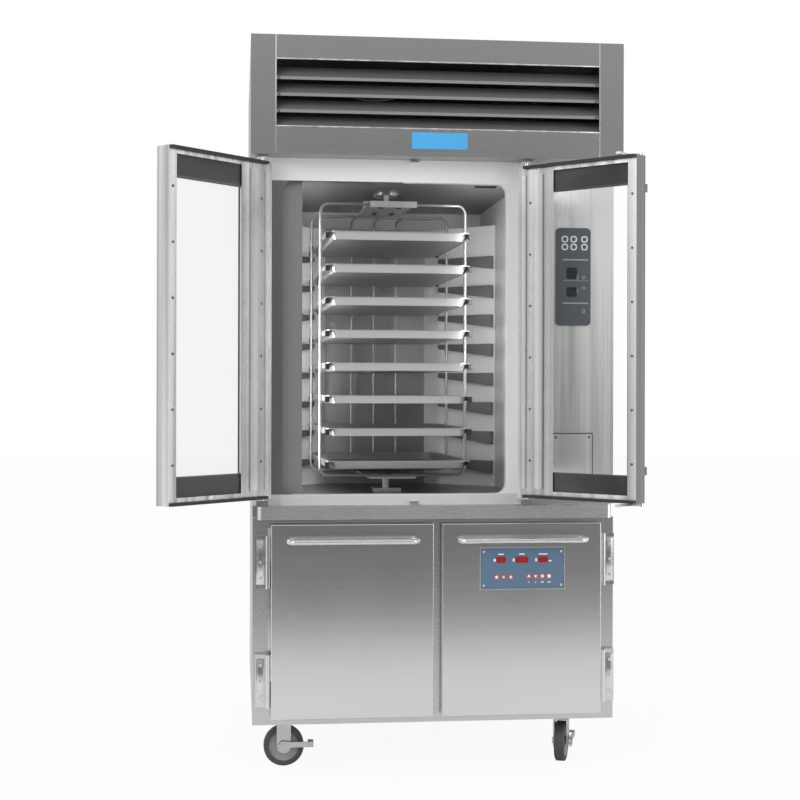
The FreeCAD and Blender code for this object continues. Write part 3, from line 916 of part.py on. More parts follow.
def build_rack():
    """Rotating rack: two bent wire loops, rear rods, channel rails, hanger, spindle and foot."""
    at = ("axis_x", "axis_y", "0")
    wires = []
    for place in ("-loop_in", "loop_in"):
        for level in ("loop_low", "loop_high"):
            wires.append(bar("loop_run", "x", "rod_r", "loop_bend - loop_half",
                             "2 * (loop_half - loop_bend)", (place, level)))
        for side in (-1, 1):
            wires.append(bar("loop_run", "z", "rod_r", "loop_low + loop_bend",
                             "loop_high - loop_low - 2 * loop_bend",
                             (f"{side} * loop_half", place)))
            wires.append(quarter("loop_bend_piece", "y", side, 1, "loop_bend", "rod_r",
                                 (f"{side} * (loop_half - loop_bend)", place, "loop_high - loop_bend")))
            wires.append(quarter("loop_bend_piece", "y", side, -1, "loop_bend", "rod_r",
                                 (f"{side} * (loop_half - loop_bend)", place, "loop_low + loop_bend")))
    stop_y = "tray_half_d + rear_rod_r + fit_gap"
    for index in (-1, 0, 1):
        across = f"{index} * rear_rod_step"
        wires.append(bar("stop_run", "z", "rear_rod_r", "loop_low + stop_bend",
                         "loop_high - loop_low - 2 * stop_bend",
                         (across, stop_y)))
        for up, level in ((1, "loop_high"), (-1, "loop_low")):
            wires.append(bar("stop_run", "y", "rear_rod_r", "loop_in + rod_r",
                             f"{stop_y} - stop_bend - loop_in - rod_r",
                             (across, level)))
            wires.append(quarter("stop_bend_piece", "x", 1, up, "stop_bend", "rear_rod_r",
                                 (across, f"{stop_y} - stop_bend", f"{level} - {up} * stop_bend")))
    node("rack_loops", wires, "rack_turn", at)
    rails = []
    outer = "loop_half - rod_r"
    for level in range(int(val("tray_levels"))):
        top = f"tray_first + {level} * tray_pitch - tray_rim_t - rail_drop"
        for side in (1, -1):
            along = ("-rail_half_len", "rail_half_len")
            channel = plate("rail", mirrored(f"{outer} - rail_w", outer, side), along,
                            (f"{top} - rail_h", top))
            hollow = plate("rail_hollow",
                           mirrored(f"{outer} - rail_w - cut_over", f"{outer} - rail_wall", side),
                           ("-rail_half_len - cut_over", "rail_half_len + cut_over"),
                           (f"{top} - rail_h + rail_wall", f"{top} - rail_wall"))
            rails.append(cut("rail_cut", channel, hollow))
    node("rack_rails", rails, "rack_turn", at)
    trays = []
    rim, wall = val("tray_rim"), val("tray_wall")
    wide, deep, corner = val("tray_half_w"), val("tray_half_d"), val("tray_corner")
    flare = val("tray_h") * math.tan(math.radians(val("tray_flare")))
    for level in range(int(val("tray_levels"))):
        body = new("PartDesign::Body", "tray")
        top = f"tray_first + {level} * tray_pitch"
        rim_sketch = sketch_on(body, f"tray_rim_{level}", "XY_Plane", f"{top} - tray_rim_t")
        rounded_rectangle(rim_sketch, -wide, -deep, wide, deep, corner)
        pad(body, rim_sketch, f"tray_rim_pad_{level}", "tray_rim_t")
        bowl = sketch_on(body, f"tray_bowl_{level}", "XY_Plane", f"{top} - tray_h")
        foot = rim + flare
        rounded_rectangle(bowl, foot - wide, foot - deep, wide - foot, deep - foot, corner - foot)
        pad(body, bowl, f"tray_bowl_pad_{level}", "tray_h").setExpression("TaperAngle", ref("tray_flare"))
        inside = sketch_on(body, f"tray_inside_{level}", "XY_Plane", f"{top} - tray_h + tray_wall")
        edge = foot + wall
        rounded_rectangle(inside, edge - wide, edge - deep, wide - edge, deep - edge, corner - edge)
        hollow = body.newObject("PartDesign::Pocket", f"tray_hollow_{level}")
        hollow.Profile = inside
        hollow.setExpression("Length", ref("tray_h"))
        hollow.setExpression("TaperAngle", ref("tray_flare"))
        hollow.Reversed = True
        trays.append(body)
    node("trays", trays, "rack_turn", at)
    hanger = plate("hanger", ("-hanger_half", "hanger_half"), ("-loop_in - rod_r", "loop_in + rod_r"),
                   ("hanger_low", "bridge_low"))
    lip = plate("hanger_lip", ("-hanger_half", "hanger_half"),
                ("-loop_in - rod_r - lip_t", "-loop_in - rod_r"), ("hanger_low - lip_h", "bridge_low"))
    holes = [bar("hanger_hole", "z", "hanger_hole_r", "hanger_low - cut_over", "hanger_t + 2 * cut_over",
                 (f"{side} * hanger_hole_at", "-loop_in / 2")) for side in (-1, 1)]
    bridge = plate("bridge", ("-bridge_half", "bridge_half"), ("-bridge_d / 2", "bridge_d / 2"),
                   ("bridge_low", "spindle_low"))
    spindle = bar("spindle", "z", "spindle_r", "spindle_low",
                  "oven_top + gear_h - 2 * sheet_t - spindle_low", ("0", "0"))
    foot = plate("rack_foot", ("-hanger_half", "hanger_half"), ("-loop_in - rod_r", "loop_in + rod_r"),
                 ("foot_high - hanger_t", "foot_high"))
    pin = bar("foot_pin", "z", "foot_pin_r", "room_low + 2 * sheet_t",
              "foot_high - hanger_t - room_low - 2 * sheet_t",
              ("0", "0"))
    node("rack_hanger", [cut("hanger_cut", hanger, *holes), lip, fuse("spindle_weld", bridge, spindle),
                         fuse("foot_weld", foot, pin)], "rack_turn", at)


def build_base_door(name, side):
    """One proofer door, drawn closed round its hinge pins."""
    pivot = "base_doors_mid - base_door_outer - base_pivot_side" if side > 0 else \
            "base_doors_mid + base_door_outer + base_pivot_side"
    at = (pivot, "base_pivot_y", "0")
    width = "base_door_outer - base_split"
    front = "base_door_front - base_pivot_y"
    back = "base_door_back - base_pivot_y"
    leaf_x = mirrored("base_pivot_side", f"base_pivot_side + {width}", side)
    tall = ("base_door_low", "base_door_high")
    slab = plate("base_leaf", leaf_x, (front, back), tall)
    doc.recompute()
    soft = new("Part::Fillet", "base_leaf_soft")
    soft.Base = slab
    face = slab.Shape.BoundBox.YMin
    soft.Edges = [(index + 1, val("base_edge_r"), val("base_edge_r")) for index,
                  edge in enumerate(slab.Shape.Edges)
                  if abs(edge.BoundBox.YMax - face) < val("fit_gap")]
    hollow = plate("base_leaf_hollow",
                   mirrored("base_pivot_side + 2 * sheet_t", f"base_pivot_side + {width} - 2 * sheet_t",
                            side),
                   (f"{front} + 2 * sheet_t", f"{back} + cut_over"),
                   ("base_door_low + 2 * sheet_t", "base_door_high - 2 * sheet_t"))
    node(f"{name}_panel", [cut("base_leaf_cut", soft, hollow)], at=at)
    core = plate("base_core",
                 mirrored("base_pivot_side + 2 * sheet_t", f"base_pivot_side + {width} - 2 * sheet_t",
                          side),
                 (f"{front} + 2 * sheet_t", back),
                 ("base_door_low + 2 * sheet_t", "base_door_high - 2 * sheet_t"))
    node(f"{name}_core", [core], at=at)
    inset = "base_seal_inset"
    seal = plate("base_seal",
                 mirrored(f"base_pivot_side + {inset}", f"base_pivot_side + {width} - {inset}", side),
                 (back, f"{back} + base_seal_t"), (f"base_door_low + {inset}", f"base_door_high - {inset}"))
    deeper = f"{inset} + base_seal_w"
    seal_hole = plate("base_seal_hole",
                      mirrored(f"base_pivot_side + {deeper}", f"base_pivot_side + {width} - {deeper}",
                               side),
                      (f"{back} - cut_over", f"{back} + base_seal_t + cut_over"),
                      (f"base_door_low + {deeper}", f"base_door_high - {deeper}"))
    node(f"{name}_gasket", [cut("base_gasket", seal, seal_hole)], at=at)
    reach, half_len = val("base_grip_out"), val("base_grip_len") / 2
    tube = bent_tube(f"{name}_grip",
                     [(-half_len, 0), (-half_len, -reach), (half_len, -reach), (half_len, 0)],
                     val("base_grip_bend"), val("base_grip_r"))
    middle = f"{side} * (base_pivot_side + ({width}) / 2)"
    bind(tube, x=middle, y=front, z="base_door_high - base_grip_drop")
    feet = []
    for end in (-1, 1):
        disc = bar("grip_foot", "y", "grip_foot_r", f"{front} - grip_foot_t", "grip_foot_t",
                   (f"{middle} + {end} * base_grip_len / 2", "base_door_high - base_grip_drop"))
        hole = bar("grip_foot_hole", "y", "base_grip_r", f"{front} - grip_foot_t - cut_over",
                   "grip_foot_t + 2 * cut_over",
                   (f"{middle} + {end} * base_grip_len / 2", "base_door_high - base_grip_drop"))
        feet.append(cut("grip_foot_cut", disc, hole))
    straps = []
    for low in ("base_door_low + hinge_low - hinge_h / 2", "base_door_high - hinge_high - hinge_h / 2"):
        upper = (f"{low} + hinge_h / 2 + fit_gap", f"{low} + hinge_h")
        knuckle = bar("knuckle", "z", "knuckle_r", upper[0], "hinge_h / 2 - fit_gap", ("0", "0"))
        strap = plate("strap", mirrored("0", "base_pivot_side", side),
                      ("-strap_t / 2", "-strap_t / 2 + strap_d"), upper)
        hole = bar("knuckle_hole", "z", "hinge_pin_r + fan_fit", f"{upper[0]} - cut_over", "hinge_h",
                   ("0", "0"))
        straps.append(cut("strap_cut", fuse("strap_weld", knuckle, strap), hole))
    node(f"{name}_fittings", [tube] + feet + straps, at=at)
    fixed = []
    for low in ("base_door_low + hinge_low - hinge_h / 2", "base_door_high - hinge_high - hinge_h / 2"):
        lower = bar("post_knuckle", "z", "knuckle_r", low, "hinge_h / 2", ("0", "0"))
        pin = bar("post_pin", "z", "hinge_pin_r", low, "hinge_h", ("0", "0"))
        arm = plate("post_arm", mirrored("-knuckle_r", "0", side), ("0", "base_pivot_out"),
                    (low, f"{low} + hinge_h / 2"))
        leaf = plate("post_leaf", mirrored("-knuckle_r - hinge_leaf_w", "-knuckle_r", side),
                     ("base_pivot_out - hinge_leaf_t", "base_pivot_out"), (low, f"{low} + hinge_h"))
        fixed.append(fuse("post_hinge", lower, pin, arm, leaf))
    return hung(f"{name}_post_hinges", fixed, at=at)


def build_key_panel():
    """Control plate of the proofer on the right lower door."""
    left = "base_doors_mid + base_split + (base_door_outer - base_split - key_panel_w) / 2"
    panel = plate("key_panel", (left, f"{left} + key_panel_w"),
                  ("base_door_front - key_panel_t", "base_door_front"),
                  ("base_door_high - key_panel_drop - key_panel_h", "base_door_high - key_panel_drop"))
    node("proofer_control_panel", [panel])


def build_caster(name, x, y, heading, braked):
    """Swivel caster: fork with axle, wheel, and a side lever on braked ones."""
    at = (x, y, "0")
    under = "caster_height - caster_plate_t - swivel_gap"
    crown = bar("crown", "z", "swivel_r", f"{under} - swivel_h", "swivel_h", ("0", "0"))
    stem = bar("stem", "z", "axle_r", under, "swivel_gap + caster_plate_t", ("0", "0"))
    inner = "wheel_w / 2 + fork_gap"
    cheeks = []
    for side in (1, -1):
        low, high = (inner, f"{inner} + fork_t") if side > 0 else (f"-({inner}) - fork_t", f"-({inner})")
        cheeks.append(plate("cheek", ("caster_trail - fork_w / 2", "caster_trail + fork_w / 2"),
                            (low, high),
                            ("wheel_r", f"{under} - swivel_h")))
        cheeks.append(bar("cheek_end", "y", "fork_w / 2", low, "fork_t", ("caster_trail", "wheel_r")))
    span = (f"-({inner}) - fork_t", f"{inner} + fork_t")
    bridge = plate("fork_bridge", ("-swivel_r", "caster_trail + fork_w / 2"), span,
                   (f"{under} - swivel_h - fork_t", f"{under} - swivel_h"))
    axle = bar("axle", "y", "axle_r", f"-({inner}) - fork_t - axle_head_t",
               f"2 * ({inner} + fork_t + axle_head_t)",
               ("caster_trail", "wheel_r"))
    heads = [bar("axle_head", "y", "axle_head_r", start, "axle_head_t", ("caster_trail", "wheel_r"))
             for start in (f"-({inner}) - fork_t - axle_head_t", f"{inner} + fork_t")]
    side = f"{inner} + fork_t + axle_head_t + fit_gap"
    if braked:
        heads.append(bar("lever_stub", "y", "axle_r", f"{side} - fit_gap", "lever_t + 2 * fit_gap",
                         ("caster_trail", "wheel_r")))
        heads.append(bar("stub_head", "y", "axle_head_r", f"{side} + lever_t + fit_gap", "axle_head_t / 2",
                         ("caster_trail", "wheel_r")))
    welded = fuse("fork_weld", crown, stem, bridge, axle, *heads, *cheeks)
    node(f"{name}_fork", [welded], heading, at)
    wheel = new("PartDesign::Body", "wheel")
    section = sketch_on(wheel, f"{name}_section", "XY_Plane")
    bore, hub, rim = val("axle_r") + val("axle_fit"), val("wheel_hub_r"), val("wheel_r")
    half, tread, dish = val("wheel_w") / 2, val("tread_w") / 2, val("hub_dish")
    chain(section, [(bore, -half), (val("axle_head_r"), -half), (val("axle_head_r") + dish, dish - half),
                    (hub - dish, dish - half), (hub, -half), (rim - dish, -half), (rim, -tread),
                    (rim, tread),
                    (rim - dish, half), (hub, half), (hub - dish, half - dish),
                    (val("axle_head_r") + dish, half - dish), (val("axle_head_r"), half), (bore, half)])
    doc.recompute()
    spin = wheel.newObject("PartDesign::Revolution", f"{name}_spin")
    spin.Profile = section
    spin.ReferenceAxis = (section, ["V_Axis"])
    spin.Angle = 360
    bind(wheel, x="caster_trail", z="wheel_r")
    node(f"{name}_wheel", [wheel], heading, at)
    if braked:
        place = ("caster_trail", "wheel_r")
        eye = bar("lever_eye", "y", "lever_w / 2", side, "lever_t", place)
        arm = plate("lever_arm", ("caster_trail - lever_arm", "caster_trail"), (side, f"{side} + lever_t"),
                    ("wheel_r - lever_w / 4 + lever_lift", "wheel_r + lever_w / 4 + lever_lift"))
        tab = plate("lever_tab", ("caster_trail - lever_arm", "caster_trail - lever_arm + lever_w / 2"),
                    (f"{side} + lever_t - lever_w", f"{side} + lever_t"),
                    ("wheel_r + lever_w / 4 + lever_lift - lever_t", "wheel_r + lever_w / 4 + lever_lift"))
        hole = bar("lever_hole", "y", "axle_r + axle_fit", f"{side} - cut_over", "lever_t + 2 * cut_over",
                   place)
        node(f"{name}_lever", [cut("lever_cut", fuse("lever_weld", eye, arm, tab), hole)], heading, at)


def build_casters():
    """Four swivel casters and the plates that bolt them to the chassis."""
    places = {
        "caster_fl": ("-caster_side", "front_y + caster_front_in", "heading_left", True),
        "caster_fr": ("caster_side", "front_y + caster_front_in", "heading_right", True),
        "caster_bl": ("-caster_side", "back_y - caster_back_in", "heading_back_left", False),
        "caster_br": ("caster_side", "back_y - caster_back_in", "heading_back_right", False),
    }
    plates = []
    for x, y, _, _ in places.values():
        top = plate("top_plate", (f"{x} - caster_plate / 2", f"{x} + caster_plate / 2"),
                    (f"{y} - caster_plate / 2", f"{y} + caster_plate / 2"),
                    ("caster_height - caster_plate_t", "caster_height"))
        hole = bar("stem_hole", "z", "axle_r + axle_fit", "caster_height - caster_plate_t - cut_over",
                   "caster_plate_t + 2 * cut_over", (x, y))
        plates.append(cut("top_plate_cut", top, hole))
    node("caster_plates", plates)
    for name, (x, y, heading, braked) in places.items():
        build_caster(name, x, y, heading, braked)


def export_nodes():
    """Check every object and write one STEP file for each named sub-part."""
    doc.recompute()
    for item in doc.Objects:
        if "Invalid" in item.State or "Error" in item.State:
            raise RuntimeError(f"{item.Name} did not build: {item.State}")
    os.makedirs("parts", exist_ok=True)
    for item in NODES:
        if item.Shape.isNull() or not item.Shape.isValid():
            raise RuntimeError(f"{item.Label} has no valid shape")
        item.Shape.exportStep(f"parts/{item.Label}.step")


BASE_WOOL = build_base()
build_ledge(BASE_WOOL)
build_oven_body(BASE_WOOL)
build_ducts()
build_fan_and_drive()
build_front()
build_door_fittings()
build_oven_door("left_door", 1)
build_oven_door("right_door", -1, build_latch())
build_canopy()
build_rack()
node("base_hinge_posts", [build_base_door("base_left_door", 1), build_base_door("base_right_door", -1)])
build_key_panel()
build_casters()
export_nodes()
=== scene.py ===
"""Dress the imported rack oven: finishes, fittings, control panels, studio and camera."""

import json
import logging
import math
from dataclasses import dataclass
from enum import Enum
from typing import Any, Callable, Iterable, Sequence

import bpy
from mathutils import Matrix, Vector

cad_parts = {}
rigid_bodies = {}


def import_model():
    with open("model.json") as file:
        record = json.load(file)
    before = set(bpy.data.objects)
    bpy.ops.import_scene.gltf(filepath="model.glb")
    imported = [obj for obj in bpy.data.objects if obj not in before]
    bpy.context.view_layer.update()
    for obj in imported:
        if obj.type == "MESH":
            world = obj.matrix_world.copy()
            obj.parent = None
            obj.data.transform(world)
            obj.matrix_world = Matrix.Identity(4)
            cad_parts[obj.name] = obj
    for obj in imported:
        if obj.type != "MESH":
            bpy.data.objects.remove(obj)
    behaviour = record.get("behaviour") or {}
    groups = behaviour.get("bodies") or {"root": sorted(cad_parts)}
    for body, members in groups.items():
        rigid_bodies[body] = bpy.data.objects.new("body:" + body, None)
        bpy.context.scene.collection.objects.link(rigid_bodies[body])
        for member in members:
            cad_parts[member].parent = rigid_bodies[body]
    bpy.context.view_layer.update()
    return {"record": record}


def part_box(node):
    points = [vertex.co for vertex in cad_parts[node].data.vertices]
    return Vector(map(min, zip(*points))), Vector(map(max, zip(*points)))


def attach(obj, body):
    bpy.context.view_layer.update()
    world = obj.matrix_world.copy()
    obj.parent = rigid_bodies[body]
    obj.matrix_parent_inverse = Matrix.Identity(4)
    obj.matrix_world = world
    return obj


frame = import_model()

LOG = logging.getLogger("rack_oven")
Colour = tuple[float, float, float]
Place = tuple[float, float, float]
Pair = tuple[float, float]
Patch = tuple[float, float, float, float]
Piece = bpy.types.Object
UP, DOWN, FRONT, BACK = (0.0, 0.0, 1.0), (0.0, 0.0, -1.0), (0.0, -1.0, 0.0), (0.0, 1.0, 0.0)
STRAIGHT = 0.9
RACK_AXIS = Matrix.Translation((-0.114, -0.145, 0.0))
TRAY_PITCH = 0.1024
TRAY_LEVELS = 8
WHITE = (1.0, 1.0, 1.0, 1.0)
HEXAGON = 6
SMOOTH = math.radians(40.0)


def grey(level: float) -> Colour:
    """Neutral colour of one brightness."""
    return (level, level, level)


class Grain(Enum):
    """Direction of the brushing on a sheet: repeats per metre along X, Y and Z."""

    ACROSS = (2.0, 420.0, 420.0)
    DEEP = (420.0, 2.0, 420.0)
    UPRIGHT = (420.0, 420.0, 2.0)


def operator(operation: str, turned: bool = False) -> Callable[["Value", Any], "Value"]:
    """Method of Value that adds one Math node.

    Args:
        operation: Blender's name of the operation.
        turned: whether the other operand comes first.

    Returns:
        The method.
    """

    def apply(self: "Value", other: Any) -> "Value":
        """Add the node.

        Args:
            self: the value.
            other: a value or a number.

        Returns:
            The node's result.
        """
        first, second = (other, self) if turned else (self, other)
        made = self.recipe.node("ShaderNodeMath", {"operation": operation}, {0: first, 1: second})
        return Value(self.recipe, made.outputs[0])

    return apply


class Value:
    """A number that varies over a surface; sums, products and limits add Math nodes."""

    __add__ = operator("ADD")
    __radd__ = operator("ADD", True)
    __sub__ = operator("SUBTRACT")
    __rsub__ = operator("SUBTRACT", True)
    __mul__ = operator("MULTIPLY")
    __rmul__ = operator("MULTIPLY", True)
    above = operator("GREATER_THAN")
    at_least = operator("MAXIMUM")
    at_most = operator("MINIMUM")

    def __init__(self, recipe: "Recipe", socket: bpy.types.NodeSocket) -> None:
        """Keep the socket and the recipe that its nodes belong to."""
        self.recipe = recipe
        self.socket = socket


class Recipe:
    """Node tree of one material or of the world."""

    def __init__(self, tree: bpy.types.NodeTree) -> None:
        """Clear the tree and keep it."""
        self.tree = tree
        tree.nodes.clear()

    def node(self, kind: str, settings: dict[str, Any] | None = None,
             inputs: dict[Any, Any] | None = None) -> bpy.types.Node:
        """Add a node, set it up and feed its sockets.

        Args:
            kind: Blender's node type.
            settings: properties of the node; "stops" fills a colour ramp.
            inputs: a value, socket or Value for each named or numbered input.

        Returns:
            The new node.
        """
        made = self.tree.nodes.new(kind)
        for key, setting in (settings or {}).items():
            if key == "stops":
                stops = made.color_ramp.elements
                for index, (place, colour) in enumerate(setting):
                    stop = stops[index] if index < 2 else stops.new(place)
                    stop.position = place
                    stop.color = (*colour, 1.0)
            else:
                setattr(made, key, setting)
        for key, given in (inputs or {}).items():
            given = given.socket if isinstance(given, Value) else given
            if isinstance(given, bpy.types.NodeSocket):
                self.tree.links.new(given, made.inputs[key])
            else:
                made.inputs[key].default_value = given
        return made

    def noise(self, scale: Sequence[float], detail: float = 4.0) -> Value:
        """Noise on the object's own coordinates.

        Args:
            scale: repeats per metre along X, Y and Z.
            detail: octaves of the noise.

        Returns:
            The noise, about 0 to 1.
        """
        place = self.node("ShaderNodeTexCoord").outputs["Object"]
        mapped = self.node("ShaderNodeMapping", inputs={"Vector": place, "Scale": tuple(scale)}).outputs[0]
        cloud = self.node("ShaderNodeTexNoise", inputs={"Vector": mapped, "Scale": 1.0, "Detail": detail})
        return Value(self, cloud.outputs["Fac"])

    def along(self, axis: str) -> Value:
        """Place along the axis "X", "Y" or "Z" of the object's own coordinates, in metres."""
        place = self.node("ShaderNodeTexCoord").outputs["Object"]
        return Value(self, self.node("ShaderNodeSeparateXYZ", inputs={0: place}).outputs[axis])

    def ramp(self, value: Value, stops: Sequence[tuple[float, Colour]]) -> bpy.types.NodeSocket:
        """Colour that follows a value through stops of position and colour."""
        return self.node("ShaderNodeValToRGB", {"stops": stops}, {0: value}).outputs["Color"]

    def bump(self, height: Value, strength: float, depth: float) -> bpy.types.NodeSocket:
        """Normal roughened by a relative height, to a share of the effect and a real depth in metres."""
        inputs = {"Height": height, "Strength": strength, "Distance": depth}
        return self.node("ShaderNodeBump", inputs=inputs).outputs[0]

    def looked_at(self) -> Value:
        """Whether a ray comes from the camera, also through clear glass.

        Returns:
            One where it does, else zero.
        """
        path = self.node("ShaderNodeLightPath")
        seen = Value(self, path.outputs["Is Camera Ray"]) + Value(self, path.outputs["Is Transmission Ray"])
        return seen.at_most(1.0)


def surface(recipe: Recipe, **sockets: Any) -> None:
    """Principled surface as the material's output.

    Args:
        recipe: the material's recipe.
        sockets: Principled inputs, with underscores for spaces.
    """
    inputs = {key.replace("_", " "): given for key, given in sockets.items()}
    shader = recipe.node("ShaderNodeBsdfPrincipled", inputs=inputs)
    recipe.node("ShaderNodeOutputMaterial", inputs={"Surface": shader.outputs[0]})


@dataclass(frozen=True)
class Finish:
    """One procedural material."""

    name: str

    def make(self) -> bpy.types.Material:
        """Build the material.

        Returns:
            The material.
        """
        material = bpy.data.materials.new(self.name)
        material.use_nodes = True
        self.paint(Recipe(material.node_tree))
        return material

    def paint(self, recipe: Recipe) -> None:
        """Fill the material's node tree."""
        raise NotImplementedError


@dataclass(frozen=True)
class BrushedSteel(Finish):
    """Stainless sheet with a fine brushed grain and faint handling marks."""

    grain: Grain
    tone: float = 0.56
    rough: float = 0.30
    contrast: float = 0.05
    metal: float = 1.0
    streaks: float = 0.0
    rise: float = 0.0

    def paint(self, recipe: Recipe) -> None:
        """Grain lines, broad bands and faint marks.

        Args:
            recipe: recipe of the tree.
        """
        lines = recipe.noise(self.grain.value)
        marks = recipe.noise((5.0, 5.0, 5.0), 6.0)
        bands = recipe.noise([min(34.0, part / 5.0) for part in self.grain.value], 1.0)
        spread = self.contrast + self.streaks
        dark, light = (1.0 - spread) * self.tone, (1.0 + spread) * self.tone
        share = self.streaks / spread
        blend = (1.0 - share) * (0.75 * lines + 0.25 * marks) + share * bands
        # painted shade: the tone grows with height above 1.3 m, so the sheet is darker towards the bottom
        if self.rise:
            blend = blend + self.rise * (recipe.along("Z") - 1.3)
        colour = recipe.ramp(blend, [(0.3, grey(dark)), (0.7, (light, light, 0.99 * light))])
        surface(recipe, Base_Color=colour, Metallic=self.metal,
                Roughness=self.rough - 0.04 + 0.05 * lines + 0.04 * marks,
                Normal=recipe.bump(lines, 0.04, 0.0001))


@dataclass(frozen=True)
class FrameSteel(Finish):
    """Door frame steel with light and shade painted into its tones: top and bottom rails and right jamb pale
    and satin as painted light, the top rail lighter than the bottom one, the left jamb dark as painted shade.
    """

    rails: Pair
    rail_light_tones: Pair = (0.72, 1.0)
    jamb_light_and_shade_tones: Pair = (0.26, 0.92)
    middle: float = -0.10
    rough: float = 0.32

    def paint(self, recipe: Recipe) -> None:
        """Painted light and shade: lit and shaded tones of rails and jambs under one grain.

        Args:
            recipe: recipe of the tree.
        """
        lines = recipe.noise(Grain.ACROSS.value)
        height = recipe.along("Z")
        top = height.above(self.rails[1])
        rail = top + (1.0 - height.above(self.rails[0]))
        # painted light: the top rail takes the lighter rail tone and the bottom rail the darker one
        bright = top * (self.rail_light_tones[1] - self.rail_light_tones[0]) + self.rail_light_tones[0]
        # painted shade on the left jamb and painted light on the right jamb, split at x = middle
        right = recipe.along("X").above(self.middle)
        jamb = right * (self.jamb_light_and_shade_tones[1] - self.jamb_light_and_shade_tones[0]) + self.jamb_light_and_shade_tones[0]
        tone = rail * bright + (1.0 - rail) * jamb + 0.03 * lines - 0.015
        # rails and right jamb are made less metallic so they read pale, which is part of the painted light
        surface(recipe, Base_Color=recipe.ramp(tone, [(0.0, grey(0.0)), (1.0, (1.0, 1.0, 0.995))]),
                Metallic=0.85 - 0.75 * (rail + right).at_most(1.0), Roughness=self.rough + 0.05 * lines)


@dataclass(frozen=True)
class PolishedSteel(Finish):
    """Bright wire, bar and hardware with small scuffs."""

    tone: float = 0.72
    rough: float = 0.14

    def paint(self, recipe: Recipe) -> None:
        """Bright metal with scuffs.

        Args:
            recipe: recipe of the tree.
        """
        scuffs = recipe.noise((90.0, 90.0, 90.0), 5.0)
        colour = recipe.ramp(scuffs, [(0.35, grey(0.92 * self.tone)), (0.65, grey(1.05 * self.tone))])
        surface(recipe, Base_Color=colour, Metallic=1.0, Roughness=self.rough + 0.12 * scuffs,
                Normal=recipe.bump(scuffs, 0.05, 0.0003))


@dataclass(frozen=True)
class CoatedFinish(Finish):
    """Paint, film, rubber or board: a mottled colour with a fine texture."""

    colour: Colour
    rough: float
    mottle: float = 0.12
    texture: float = 260.0
    height: float = 0.0002

    def paint(self, recipe: Recipe) -> None:
        """Mottled colour with a fine bump.

        Args:
            recipe: recipe of the tree.
        """
        fine = recipe.noise((self.texture,) * 3, 4.0)
        broad = recipe.noise((6.0, 6.0, 6.0), 3.0)
        dark = tuple((1.0 - self.mottle) * part for part in self.colour)
        light = tuple((1.0 + self.mottle) * part for part in self.colour)
        surface(recipe, Base_Color=recipe.ramp(0.5 * fine + 0.5 * broad, [(0.35, dark), (0.65, light)]),
                Roughness=self.rough - 0.05 + 0.10 * fine, Normal=recipe.bump(fine, 0.15, self.height))


@dataclass(frozen=True)
class ClearGlass(Finish):
    """Tempered pane: mostly see-through, with a reflection that grows at grazing angles."""

    sheen: float = 0.07

    def paint(self, recipe: Recipe) -> None:
        """Thin reflection over a see-through pane.

        Args:
            recipe: recipe of the tree.
        """
        facing = Value(recipe, recipe.node("ShaderNodeFresnel", inputs={"IOR": 1.5}).outputs[0])
        smear = recipe.noise((14.0, 14.0, 5.0), 5.0)
        surface(recipe, Base_Color=recipe.ramp(smear, [(0.3, (0.40, 0.43, 0.44)), (0.7, (0.50, 0.52, 0.52))]),
                Roughness=0.02 + 0.03 * smear, Alpha=(self.sheen * facing + 0.004 * smear).at_most(1.0))


@dataclass(frozen=True)
class Lamp(Finish):
    """Lit digit window: a dark red field with bright segments."""

    colour: Colour
    strength: float

    def paint(self, recipe: Recipe) -> None:
        """Glowing field.

        Args:
            recipe: recipe of the tree.
        """
        glow = recipe.noise((300.0, 300.0, 300.0), 2.0)
        dim = tuple(0.7 * part for part in self.colour)
        lit = recipe.ramp(glow, [(0.35, dim), (0.65, self.colour)])
        surface(recipe, Base_Color=lit, Roughness=0.25 + 0.1 * glow, Emission_Color=lit,
                Emission_Strength=self.strength)


@dataclass(frozen=True)
class PaleFloor(Finish):
    """Matt pale floor that is nearly white to the camera."""

    white: float = 0.93

    def paint(self, recipe: Recipe) -> None:
        """Matt shader, mixed with white for rays from the camera.

        Args:
            recipe: recipe of the tree.
        """
        pale = recipe.ramp(recipe.noise((3.0, 3.0, 3.0)), [(0.3, grey(0.86)), (0.7, grey(0.89))])
        matt = recipe.node("ShaderNodeBsdfDiffuse", inputs={"Color": pale}).outputs[0]
        lit = recipe.node("ShaderNodeEmission", inputs={"Color": WHITE, "Strength": 1.0}).outputs[0]
        mixed = recipe.node("ShaderNodeMixShader", inputs={0: self.white * recipe.looked_at(), 1: matt, 2: lit})
        recipe.node("ShaderNodeOutputMaterial", inputs={"Surface": mixed.outputs[0]})


